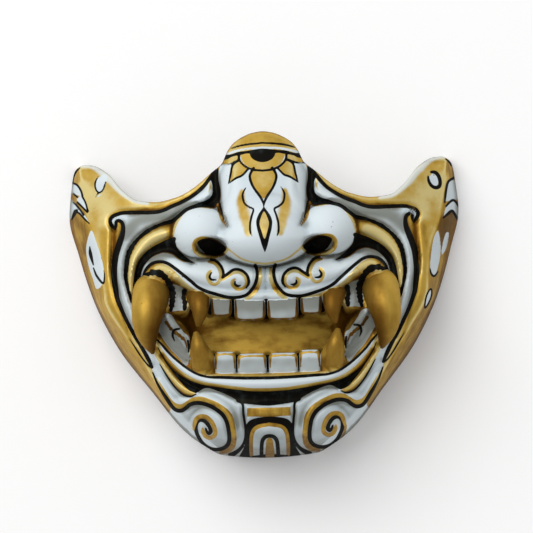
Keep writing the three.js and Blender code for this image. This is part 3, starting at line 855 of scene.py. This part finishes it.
def grid_block(name, columns, rows, inset, reach, height_at, floor):
    """A closed block: a grid on a height above, walls, and a flat sheet below."""
    block = bmesh.new()
    bmesh.ops.create_grid(block, x_segments=columns, y_segments=rows, size=1)
    bmesh.ops.extrude_face_region(block, geom=block.faces[:], use_keep_orig=True)
    across, along, _ = np.array([vert.co for vert in block.verts]).T
    x, y = place_on_face(across, ((along + 1) / 2) ** ROW_SPACING, inset, reach)
    height = np.full(len(x), floor)
    upper = (columns + 1) * (rows + 1)
    height[:upper] = height_at(x[:upper], y[:upper])
    for vert, place in zip(block.verts, np.column_stack([x, y, height]) * MILLIMETRE):
        vert.co = place
    bmesh.ops.recalc_face_normals(block, faces=block.faces)
    return add_piece(name, block)


mask = grid_block("mask_shell_painted", COLUMNS, ROWS, 0, 0, finished_front, -BELOW - 1)


# %% [markdown]
# ## Teeth, fangs and tusks
# The maker casts them with the face, so they are no pieces of their own. A tooth is a rounded
# block pushed out of the mouth's back wall. A fang or tusk is a horn: a ring carried along a
# bent path while it shrinks. Both are drawn for one side and mirrored.

# %% One rounded tooth
TOOTH_STEPS = {"x_segments": 20, "y_segments": 18}
TOOTH_DEPTH = 20.0
TOOTH_ROUND = 1.3
TOOTH_BOW = 0.5
TOOTH_CORNERS = 6  # a higher number gives squarer corners


def add_tooth(teeth, left, right, foot, top, face):
    middle = ((left + right) / 2, (foot + top) / 2)
    half = ((right - left) / 2, (top - foot) / 2)
    front_verts = bmesh.ops.create_grid(teeth, **TOOTH_STEPS, size=1)["verts"]
    faces = list({face for vert in front_verts for face in vert.link_faces})
    back = bmesh.ops.extrude_face_region(teeth, geom=faces, use_keep_orig=True)
    back_verts = [part for part in back["geom"] if isinstance(part, bmesh.types.BMVert)]
    for verts, is_front in ((front_verts, True), (back_verts, False)):
        for vert in verts:
            u, v = vert.co.x, vert.co.y
            square = max(abs(u), abs(v))
            rounded = (abs(u) ** TOOTH_CORNERS + abs(v) ** TOOTH_CORNERS) ** (1 / TOOTH_CORNERS)
            squeeze = square / rounded if rounded > 0 else 1
            edge = min((1 - square) * min(half) / TOOTH_ROUND, 1)
            fall = TOOTH_ROUND * (1 - math.sqrt(1 - (1 - edge) ** 2)) + TOOTH_BOW * u * u
            height = face - fall if is_front else face - TOOTH_DEPTH
            vert.co = (middle[0] + half[0] * u * squeeze, middle[1] + half[1] * v * squeeze, height)


TEETH = [  # left and right side, foot, top and the height of the face
    (0.5, 15.9, -12.4, 1, 67.5), (17.1, 27.5, -9.9, 1, 66.5), (0.6, 15.0, -40, -28.9, 66.5),
    (15.8, 26.3, -40, -27.7, 65.5),
]


# %% One horn
def smooth_path(points, samples):
    """Evenly spaced points on a smooth line in space, and the line's direction there."""
    route = smooth_route(points, pieces=12)
    lengths = np.linalg.norm(np.diff(route, axis=0), axis=1)
    walked = np.concatenate([[0], np.cumsum(lengths)])
    at = np.linspace(0, walked[-1], samples)
    path = np.column_stack([np.interp(at, walked, route[:, i]) for i in range(3)])
    return path, np.gradient(path, axis=0)


def add_horn(teeth, points, root, tip, power, sides, rings):
    horn = bmesh.new()
    bmesh.ops.create_cone(horn, cap_ends=True, segments=sides, radius1=1, radius2=1, depth=2)
    upright = [
        edge for edge in horn.edges if abs(edge.verts[0].co.z - edge.verts[1].co.z) > 1
    ]
    bmesh.ops.subdivide_edges(horn, edges=upright, cuts=rings - 1)
    path, direction = smooth_path(points, rings + 1)
    for vert in horn.verts:
        ring = round((vert.co.z + 1) / 2 * rings)
        along = Vector(direction[ring]).normalized()
        other = along.cross(Vector((1, 0, 0))).normalized()
        side = other.cross(along)
        share = ring / rings
        radius = tip + (root - tip) * (1 - share**power)
        reach = side * vert.co.x + other * vert.co.y
        vert.co = Vector(path[ring]) + reach * radius
    mesh = bpy.data.meshes.new("horn")
    horn.to_mesh(mesh)
    horn.free()
    teeth.from_mesh(mesh)
    bpy.data.meshes.remove(mesh)


UPPER_FANG = [(33.5, 3, 52), (33.3, -1, 64), (33, -7, 69), (34, -14.6, 68)]
LOWER_FANG = [(32, -36.5, 50), (31.8, -33.5, 61), (34, -25, 68.5), (35.3, -17.5, 67)]
TUSK = [
    (56, 3, 44), (57, 2, 54), (58.5, -5, 61), (59.8, -13, 62.5), (59, -21, 59),
    (57, -27.6, 55),
]
HORNS = [  # path, radius at the root and at the tip, power of the taper, sides, rings
    (UPPER_FANG, 6.6, 1.2, 2.5, 24, 24),
    (LOWER_FANG, 7.2, 1.2, 2.4, 24, 24),
    (TUSK, 9.6, 0.9, 2.6, 28, 40),
]


# %% All of them, on both sides
def build_teeth():
    teeth = bmesh.new()
    for tooth in TEETH:
        add_tooth(teeth, *tooth)
    for horn in HORNS:
        add_horn(teeth, *horn)
    everything = teeth.verts[:] + teeth.edges[:] + teeth.faces[:]
    bmesh.ops.mirror(teeth, geom=everything, axis="X", merge_dist=0)
    bmesh.ops.scale(teeth, vec=Vector((1, 1, 1)) * MILLIMETRE, verts=teeth.verts)
    bmesh.ops.recalc_face_normals(teeth, faces=teeth.faces)
    return add_piece("teeth", teeth)


teeth_block = build_teeth()

# %% [markdown]
# ## The hollow back
# The hollow keeps the wall's thickness behind the plain dome, so the carving on the front makes
# the wall a little thicker or thinner, as it does in a casting from a simple core. It is deeper
# behind the nose and shallower behind the mouth.

# %% The core that leaves the hollow
WALL = 5.0
WALL_RINGS = (0.5, 0.85, 0.98)  # rings of a ball that keeps the wall's thickness all round
WALL_SPOKES = 16
HOLLOW_SLOPE = 11.0
PAST_THE_TOP = 12.0


def turned_under_dome(x, y):
    x = np.abs(x)
    return np.where(is_outside(x, y), -BELOW, turn_under(x, y, dome(x, y)))


def hollow_height(x, y):
    height = turned_under_dome(x, y) - WALL
    for share in WALL_RINGS:
        away = share * WALL
        for angle in np.arange(WALL_SPOKES) / WALL_SPOKES * math.tau:
            near = turned_under_dome(x + away * np.cos(angle), y + away * np.sin(angle))
            height = np.minimum(height, near - math.sqrt(WALL**2 - away**2))
    sheet_x = np.abs(x)
    height -= MOUTH_DEPTH * step(-HOLLOW_SLOPE, 0, inside_mouth(sheet_x, y))
    return np.maximum(blend(height, bridge(sheet_x, y, WALL), 3), -2 * BELOW)


core = grid_block("core", 90, 60, WALL, PAST_THE_TOP, hollow_height, -3 * BELOW)

# %% Join the teeth, take out the core, cut the rim flat
UNDER_SIDE = 0.4


def build_under_rim():
    box = bmesh.new()
    bmesh.ops.create_cube(box, size=1)
    size = Vector((UNDER_SIDE, UNDER_SIDE, 4 * BELOW * MILLIMETRE))
    bmesh.ops.scale(box, vec=size, verts=box.verts)
    bmesh.ops.translate(box, vec=(0, 0, -size.z / 2), verts=box.verts)
    return add_piece("under_rim", box)


def combine(piece, other, operation):
    """Joins or cuts a piece with another one, which is used up."""
    change = piece.modifiers.new(operation.lower(), "BOOLEAN")
    change.operation = operation
    change.object = other
    change.solver = "MANIFOLD"
    evaluated = piece.evaluated_get(bpy.context.evaluated_depsgraph_get())
    result = bpy.data.meshes.new_from_object(evaluated)
    piece.modifiers.clear()
    old = piece.data
    piece.data = result
    bpy.data.meshes.remove(old)
    bpy.data.objects.remove(other)
    print(operation.lower(), "gives", len(result.polygons), "faces")


combine(mask, teeth_block, "UNION")
combine(mask, core, "DIFFERENCE")
combine(mask, build_under_rim(), "DIFFERENCE")


# %% Clean mesh, smooth shading
SHARP_ANGLE = math.radians(50)
SAME_PLACE = 1e-6


def clean_up(piece):
    mesh_data = bmesh.new()
    mesh_data.from_mesh(piece.data)
    bmesh.ops.remove_doubles(mesh_data, verts=mesh_data.verts, dist=SAME_PLACE)
    bmesh.ops.dissolve_degenerate(mesh_data, edges=mesh_data.edges, dist=SAME_PLACE)
    loose = [edge for edge in mesh_data.edges if edge.is_wire]
    bmesh.ops.delete(mesh_data, geom=loose, context="EDGES")
    for face in mesh_data.faces:
        face.smooth = True
    for edge in mesh_data.edges:
        edge.smooth = not (edge.is_manifold and edge.calc_face_angle() > SHARP_ANGLE)
    mesh_data.to_mesh(piece.data)
    triangles = sum(len(face.verts) - 2 for face in mesh_data.faces)
    open_edges = sum(not edge.is_manifold for edge in mesh_data.edges)
    mesh_data.free()
    print("mask has", triangles, "triangles and", open_edges, "open edges")


clean_up(mask)

# %% [markdown]
# ## Paint on the finished casting
# The paint is worked out again at every point of the finished mesh. Points that stand proud of
# the carved front are teeth, fangs and tusks. Points well below it are the unpainted back.
# The brown and grey wash that settles in hollows, and painted shade there, come from the carving
# itself: where the surface lies lower than the average around it, wash and painted shade stay,
# and where it lies higher, the paint is rubbed off and lightened with a painted highlight.
# Wider glazes, painted shade and painted highlights, with no edge, are soft routes: a strength,
# then places with a half width.

# %% Hollows and crests of the carving
MAP_STEP = 0.5
MAP_X = np.arange(0, 102, MAP_STEP)
MAP_Y = np.arange(-90, 90, MAP_STEP)


def average(heights, radius):
    """Average over a square around each point, with mirrored middle line and held edges."""
    reach = max(int(round(radius / MAP_STEP)), 1)
    held = np.pad(heights, reach, mode="edge")
    held[:reach] = held[2 * reach:reach:-1]
    total = np.cumsum(np.cumsum(np.pad(held, ((1, 0), (1, 0))), axis=0), axis=1)
    size = 2 * reach + 1
    patch = total[size:, size:] - total[:-size, size:] - total[size:, :-size]
    return (patch + total[:-size, :-size]) / size**2


def read_map(grid, x, y):
    column = np.clip((x - MAP_X[0]) / MAP_STEP, 0, len(MAP_X) - 1.001)
    row = np.clip((y - MAP_Y[0]) / MAP_STEP, 0, len(MAP_Y) - 1.001)
    i = column.astype(int)
    j = row.astype(int)
    s = column - i
    t = row - j
    low = grid[i, j] * (1 - s) + grid[i + 1, j] * s
    high = grid[i, j + 1] * (1 - s) + grid[i + 1, j + 1] * s
    return low * (1 - t) + high * t


# %% Soft paint without an edge: glazes, painted shade and painted highlights
SOFT_GOLD = [
    (1.0, [(10.6, 51.5, 2.4), (11.2, 47, 4), (10.2, 42, 5), (9, 37, 4.4), (8, 31, 3)]),
]
# whitish paint along the wing's top edge, lighter still as a painted highlight where the edge
# catches the light
SOFT_WHITE_HIGHLIGHT = [
    (0.9, [(91, 67.5, 2.5), (85, 66.6, 3), (78, 61, 3.6), (71, 53.4, 3), (64, 48.6, 2.4),
           (58, 47.2, 1.6)]),
]
# painted shade in hollows, creases, recesses, under the nose and lips, and on faces turned from the
# light
SHADE = [
    (0.8, [(98, 42, 6), (94, 39, 8), (90, 33, 7), (90, 24, 5)]),
    (0.2, [(92, 63.8, 3), (86.5, 57.6, 3)]),
    (1.2, [(34, 46.5, 2.5), (46, 42.5, 4.5), (58, 40, 6.5), (64, 38, 7), (70, 31, 6)]),
    (0.8, [(70, 31, 6), (72.6, 22, 6), (72.4, 12, 5), (71.5, 2, 4.5), (67, -13, 3.5)]),
    (0.7, [(20, 19.5, 2), (27, 18, 2.5), (33, 19.5, 2.5), (36, 23, 2)]),
    (0.8, [(19, 24.5, 1.5), (24, 28, 1.6), (30, 29.4, 1.8), (34.4, 27, 2), (34.6, 23, 2)]),
    (0.9, [(46, 22, 4), (54, 19.5, 4), (59, 14, 3)]),
    (1.0, [(47, -8, 4), (42, -11, 7), (38, -17, 7)]),
    (1.4, [(53, -9, 5), (49.5, -17, 7), (45.5, -24, 7.5), (41, -30, 6)]),
    (1.1, [(47.5, -10, 5), (43, -17, 5), (39.5, -24, 4)]),
    (0.9, [(54, -18.5, 3), (48.8, -25.4, 3.5), (40.5, -33.2, 3.5), (35.5, -37, 3)]),
    (0.6, [(35.5, -37, 3), (19, -38.6, 3), (0, -39, 3)]),
    (1.0, [(46, 6, 5), (44.5, 0, 6), (44.5, -6, 6)]),
    (0.7, [(0, -13.5, 4.5), (18, -13, 4.5), (34, -17, 5)]),
    (0.3, [(0, -22, 14), (30, -22, 14)]),
    (0.4, [(0, 79, 6), (18, 77, 6)]),
    (0.4, [(79.5, 38, 3.5), (79.5, 28, 4), (80, 16, 5), (79.5, 4, 5), (75.5, -7, 5),
            (69.5, -20, 4), (63, -31, 3)]),
]
# painted shade in the hollow of the right wing, deeper than on the left
RIGHT_SHADE = [(95, 37, 6), (92, 32, 7), (90, 25, 4)]
# painted highlight on the wing, the gold roll and the nose, and painted light under the nose where
# its shadow falls
PAINTED_LIGHT = [
    (1.0, [(90, 56, 5), (84, 51, 9), (79, 46, 9), (80, 38, 5)]),
    (1.0, [(46, 31, 4), (56, 28.5, 4), (63, 21.5, 3)]),
    (0.4, [(0, 71, 10), (0, 58, 8)]),
    (1.0, [(15, 13.5, 4), (0, 12, 7), (0, 3, 5)]),
]


def soft_paint(x, y, glazes):
    return np.maximum.reduce([strength * roll(x, y, route) for strength, route in glazes])


# painted shade on the steep side panels, more on the right; the chin darker towards its foot
PANEL_SHADE = 0.65
RIGHT_PANEL_SHADE = 0.15  # more of it on the right, the side away from the light
RIGHT_HOLLOW_SHADE = 0.6
CHIN_DARKENING = 0.65
CHIN_FOOT_DARKENING = 0.35
# share of the painted light that is taken off the painted shade
PAINTED_LIGHT_SHARE = 0.8


def shading(x, y, right):
    """Painted shade, most on the side panels, a darker chin foot, and less under painted light."""
    ridge = ridge_at(y)
    outward = (x - ridge) / (side_at(y) - ridge)
    panel = (PANEL_SHADE + RIGHT_PANEL_SHADE * right) * step(0.02, 0.2, outward)
    panel *= 1 - 0.5 * step(0.5, 0.9, outward)
    panel += RIGHT_HOLLOW_SHADE * right * roll(x, y, RIGHT_SHADE)
    chin = CHIN_DARKENING * step(-30, -60, y) + CHIN_FOOT_DARKENING * step(-66, -80, y)
    shade_and_wash = np.maximum(soft_paint(x, y, SHADE), np.maximum(panel, chin))
    return shade_and_wash - PAINTED_LIGHT_SHARE * soft_paint(x, y, PAINTED_LIGHT)


FANGS_BEGIN = 29
TUSKS_BEGIN = 45
JAWS_PART = -20  # teeth below this height belong to the lower jaw


def tooth_shading(x, y):
    """Painted shade on teeth over a little grey, darkest in the upper lip's shadow, and on the fangs
    and tusks; lower tooth tips and the tusks' outer sides get painted light.
    """
    upper = 0.9 + 0.45 * step(-10, -4.5, y)
    lower = 0.65 + 0.2 * step(-38, -33, y) - 0.5 * step(-32.5, -30.5, y)
    fang = 0.65 + 0.25 * (y > -17)
    tusk = 0.65 + 0.5 * step(8, -27, y) - 0.5 * step(56, 62, x)
    tooth = np.where(y > JAWS_PART, upper, lower)
    return np.where(x < FANGS_BEGIN, tooth, np.where(x < TUSKS_BEGIN, fang, tusk))


# %% Paint and wash at every point
STANDS_PROUD = 0.35
TEETH_END = (70, 16)
# white marks on the side panels keep this share of the painted shade
PANEL_WHITE_SHADE = 0.4  # the white on the side panels keeps less of the wash


def at_points(mesh, name):
    """Three numbers for every point of a mesh, in three rows."""
    numbers = np.empty(len(mesh.vertices) * 3)
    mesh.vertices.foreach_get(name, numbers)
    return numbers.reshape(-1, 3).T


def set_attribute(mesh, name, values):
    attribute = mesh.attributes.new(name, "FLOAT", "POINT")
    attribute.data.foreach_set("value", np.asarray(values, np.float32))


def on_teeth(x, y):
    """Paint on whatever stands proud of the face, with x counted to either side."""
    paint = Paint(x, y)
    paint.area("white", (-2, 2), (28.2, 2), (28.2, -20), (-2, -20), smooth=False)
    paint.area("white", (-2, -20), (24, -20), (26.6, -24), (26.4, -45), (-2, -45), smooth=False)
    paint.line("gold", 12.6, (32, -40), (34, -26, 0.9), (35.3, -17, 0.4))
    for left, right, foot, top, _ in TEETH:
        middle = (left + right) / 2
        tip, root, turn = (top, foot + 4, -1) if foot < JAWS_PART else (foot, top, 1)
        for side, into in ((left, 1), (right, -1)):
            start = (side + 0.9 * into, tip + turn)
            paint.line("gold", 1.3, start, (side + 0.6 * into, root, 0.6), ragged=0.3)
        edge = tip + 1.1 * turn if foot < JAWS_PART else tip + 0.4
        end = edge + 0.3 * turn
        paint.line("gold", 1.1, (left + 0.8, end), (middle, edge), (right - 0.8, end), ragged=0.3)
    return paint


def paint_mesh(piece):
    mesh = piece.data
    x, y, z = at_points(mesh, "co") / MILLIMETRE
    right = x > 0
    paint, _ = paint_everything(x, y)
    x = np.abs(x)
    teeth = on_teeth(x, y)
    proud = z - finished_front(x, y)
    is_tooth = (proud > STANDS_PROUD) & (x < TEETH_END[0]) & (y < TEETH_END[1])
    is_tooth &= y > lip_edge(x)
    for name, field in paint.field.items():
        set_attribute(mesh, name, np.where(is_tooth, teeth.field[name], field))
    from_edge = np.minimum(y - chin_at(x), side_at(y) - x)
    set_attribute(mesh, "back", step(-1.5, -3.0, proud) * step(1.5, 3.0, from_edge))
    in_mouth = step(-1, 2, inside_mouth(x, y))
    set_attribute(mesh, "streaked", np.where(is_tooth, 1.2, 2.8 - 1.9 * in_mouth))
    set_attribute(mesh, "mottled", np.where(is_tooth, 0.8, 1.6 + 5.0 * in_mouth))
    set_attribute(mesh, "level", np.clip(at_points(mesh, "normal")[2], 0.05, 1))
    for name, glazes in (("soft_gold", SOFT_GOLD), ("soft_white_highlight", SOFT_WHITE_HIGHLIGHT)):
        set_attribute(mesh, name, np.where(is_tooth, 0, soft_paint(x, y, glazes)))
    on_skin = shading(x, y, right)
    on_skin[(paint.field["white"] > 0) & (x > ridge_at(y))] *= PANEL_WHITE_SHADE
    shade = np.where(is_tooth, tooth_shading(x, y), on_skin)
    set_attribute(mesh, "shade", shade)
    grid_x, grid_y = np.meshgrid(MAP_X, MAP_Y, indexing="ij")
    heights = finished_front(grid_x.ravel(), grid_y.ravel()).reshape(grid_x.shape)
    # hollows keep wash and painted shade; crests, below zero, get a painted highlight
    for name, radius in (("hollow", 1.5), ("low", 6)):
        lower = np.clip(read_map(average(heights, radius) - heights, x, y), -1, 2)
        # crests under painted shade lose their painted highlight
        highlights_kept = np.where(lower < 0, 1 - np.clip(shade, 0, 1), 1)
        set_attribute(mesh, name, np.where(is_tooth, 0, lower * highlights_kept))
    print("painted", len(x), "points,", int(is_tooth.sum()), "of them on teeth")


paint_mesh(mask)

# %% [markdown]
# ## The painted finish
# The finish is acrylic paint by hand: satin, a little uneven, with brush marks, small pits and
# dark specks from the casting. One material holds all three colours, because the brush runs
# across the carving, and the distances on the mesh say which colour is where.

# %% A small helper for shader sums
NOISE_ROUGHNESS = 0.55


class Wire:
    """A socket of a material. Sums on it add Math nodes."""

    def __init__(self, material, socket):
        self.material = material
        self.socket = socket

    def math(self, operation, first, second):
        return self.material.node("ShaderNodeMath", {"operation": operation}, {0: first, 1: second})

    def __add__(self, other):
        return self.math("ADD", self, other)

    def __sub__(self, other):
        return self.math("SUBTRACT", self, other)

    def __rsub__(self, other):
        return self.math("SUBTRACT", other, self)

    def __mul__(self, other):
        return self.math("MULTIPLY", self, other)


class Finish:
    """A material whose nodes are added one call at a time."""

    def __init__(self, name):
        self.data = bpy.data.materials.new(name)
        self.data.use_nodes = True
        self.tree = self.data.node_tree
        self.shader = self.tree.nodes["Principled BSDF"]

    def node(self, kind, settings=None, inputs=None, output=0):
        made = self.tree.nodes.new(kind)
        for name, value in (settings or {}).items():
            setattr(made, name, value)
        for name, value in (inputs or {}).items():
            if isinstance(value, Wire):
                self.tree.links.new(value.socket, made.inputs[name])
            else:
                made.inputs[name].default_value = value
        return Wire(self, made.outputs[output])

    def attribute(self, name):
        return self.node("ShaderNodeAttribute", {"attribute_name": name}, output="Fac")

    def ramp(self, value, low, high, to_low=0.0, to_high=1.0):
        """Smooth change from one number to another while the value runs from low to high."""
        return self.node(
            "ShaderNodeMapRange", {"interpolation_type": "SMOOTHSTEP"},
            {"Value": value, "From Min": low, "From Max": high, "To Min": to_low, "To Max": to_high},
        )

    def mix(self, share, first, second):
        return self.node(
            "ShaderNodeMix", {"data_type": "RGBA"}, {0: share, 6: first, 7: second}, output=2
        )

    def noise(self, scale, detail, stretch=None):
        place = self.node("ShaderNodeTexCoord", output="Object")
        if stretch:
            place = self.node("ShaderNodeMapping", None, {"Vector": place, "Scale": stretch})
        settings = {"Vector": place, "Scale": scale, "Detail": detail}
        return self.node("ShaderNodeTexNoise", None, {**settings, "Roughness": NOISE_ROUGHNESS})

    def feed(self, name, value):
        if isinstance(value, Wire):
            self.tree.links.new(value.socket, self.shader.inputs[name])
        else:
            self.shader.inputs[name].default_value = value


# %% Colours of the paint
# brighter white and gold are painted highlights; the grey and brown washes also serve as painted
# shade
WHITE = (0.57, 0.65, 0.69, 1)
WHITE_HIGHLIGHT = (0.65, 0.72, 0.75, 1)
WHITE_WASH_AND_SHADE = (0.15, 0.15, 0.115, 1)
GOLD = (0.53, 0.34, 0.06, 1)
GOLD_HIGHLIGHT = (0.70, 0.58, 0.25, 1)
GOLD_WASH_AND_SHADE = (0.15, 0.06, 0.005, 1)
BROWN = (0.05, 0.022, 0.004, 1)
BLACK = (0.0035, 0.0036, 0.0036, 1)
SLATE = (0.014, 0.019, 0.019, 1)
BARE_RESIN = (0.62, 0.60, 0.54, 1)
EDGE_BLUR = 0.12  # millimetres over which one colour turns into the next


# %% The painted resin
def painted_resin():
    finish = Finish("painted_resin")
    white, gold, black = map(finish.attribute, ("white", "gold", "black"))
    soft_gold, soft_white_highlight, shade = map(finish.attribute, ("soft_gold", "soft_white_highlight", "shade"))
    hollow, low, level, back = map(finish.attribute, ("hollow", "low", "level", "back"))
    streaked, mottled = map(finish.attribute, ("streaked", "mottled"))
    fine = finish.noise(700.0, 4.0)
    middle = finish.noise(230.0, 3.0)
    broad = finish.noise(60.0, 2.0)
    strokes = finish.noise(260.0, 4.0, stretch=(1.0, 0.28, 1.0))
    blotches = finish.noise(120.0, 4.0, stretch=(0.7, 1.4, 1.0))
    wobble = ((middle - 0.5) * 0.55 + (fine - 0.5) * 0.3) * level

    # which paint lies where: the distances, with edges that waver as a brush does
    white_share = finish.ramp((white - gold) * 0.5 + wobble * 0.8, -EDGE_BLUR, EDGE_BLUR)
    soft_edge = (strokes - 0.5) * 0.5
    white_share = white_share * finish.ramp(soft_gold + soft_edge, 0.1, 0.9, 1.0, 0.0)
    # the whitish strip along the wing's top edge, with its painted highlight
    white_share = finish.node(
        "ShaderNodeMath", {"operation": "MAXIMUM"},
        {0: white_share, 1: finish.ramp(soft_white_highlight + soft_edge, 0.2, 0.8, 0.0, 0.75)},
    )
    black_share = finish.ramp(black + wobble * 0.6, -EDGE_BLUR, EDGE_BLUR)

    # white, greyer where wash settles and where shade is painted, with a painted highlight on crests
    settled_wash_and_shade = low + (broad - 0.5) * 2.5 + hollow * 2.5 + shade * 2.6
    white_wash_and_shade = finish.ramp(settled_wash_and_shade, 0.2, 3.4, 0.0, 0.82)
    white_crest_highlight = finish.ramp(low + hollow * 3.0 + (strokes - 0.5) * 1.2, 0.1, -1.6)
    white_colour = finish.mix(white_crest_highlight, WHITE, WHITE_HIGHLIGHT)
    white_colour = finish.mix(white_wash_and_shade, white_colour, WHITE_WASH_AND_SHADE)

    # gold: wash and painted shade in hollows; on crests rubbed bright, with a painted highlight
    uneven = (strokes - 0.5) * streaked + (blotches - 0.5) * mottled
    gold_wash_and_shade = finish.ramp(low * 0.6 + hollow * 2.5 + uneven + shade * 2.2, -0.2, 2.6, 0.0, 0.95)
    crest_level = low * 0.8 + hollow * 3.0 + (middle - 0.5) * 1.8 + shade * 2.0
    gold_crest_highlight = finish.ramp(crest_level, 0.0, -2.0)
    gold_colour = finish.mix(gold_crest_highlight, GOLD, GOLD_HIGHLIGHT)
    gold_colour = finish.mix(gold_wash_and_shade, gold_colour, GOLD_WASH_AND_SHADE)
    # deepest brown where painted shade is strongest
    gold_colour = finish.mix(finish.ramp(shade + hollow, 0.6, 1.4, 0.0, 0.7), gold_colour, BROWN)

    # black, specks, and the bare resin of the back
    black_colour = finish.mix(finish.ramp(strokes + broad * 0.4, 0.72, 0.95), BLACK, SLATE)
    colour = finish.mix(white_share, gold_colour, white_colour)
    specks = finish.ramp(finish.noise(520.0, 2.0), 0.73, 0.78, 0.0, 0.8)
    colour = finish.mix(specks, colour, GOLD_WASH_AND_SHADE)
    colour = finish.mix(black_share, colour, black_colour)
    colour = finish.mix(back, colour, BARE_RESIN)
    finish.feed("Base Color", colour)

    # shine, brush marks and pits; black is matt on steep places
    finish.feed("Metallic", (1 - white_share) * (1 - black_share) * (1 - back) * 0.45)
    satin = finish.ramp(middle - black_share * 0.2, 0.0, 1.0, 0.33, 0.58)
    finish.feed("Roughness", satin + (1 - level) * black_share * 0.6)
    pits = finish.ramp(finish.noise(380.0, 1.0), 0.74, 0.8)
    relief = fine * 0.25 + strokes * 0.5 - pits * 0.8 - black_share * 0.5
    bump = {"Strength": 0.5, "Distance": 0.00022, "Height": relief}
    finish.feed("Normal", finish.node("ShaderNodeBump", None, bump, output="Normal"))
    finish.feed("IOR", 1.2)
    finish.feed("Specular IOR Level", 0.3)
    finish.feed("Specular Tint", (1.0, 0.82, 0.5, 1))
    return finish.data


mask.data.materials.clear()
mask.data.materials.append(painted_resin())
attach(mask, "root")
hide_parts("mask_shell")

# %% [markdown]
# ## The floor
# The catalogue picture has a plain near-white ground, with a faint soft shadow.

# %% Floor and last measurements
FLOOR_HALF = 2.5
FLOOR_TONE = (0.92, 0.92, 0.92, 1)
FLOOR_GLOW = 0.08  # the table is lit from below a little


def add_floor():
    sheet = bmesh.new()
    bmesh.ops.create_grid(sheet, x_segments=2, y_segments=2, size=FLOOR_HALF)
    floor = add_piece("floor", sheet)
    finish = Finish("pale_floor")
    finish.feed("Base Color", FLOOR_TONE)
    finish.feed("Emission Color", (1, 1, 1, 1))
    finish.feed("Emission Strength", FLOOR_GLOW)
    finish.feed("Roughness", 0.9)
    floor.data.materials.append(finish.data)


add_floor()
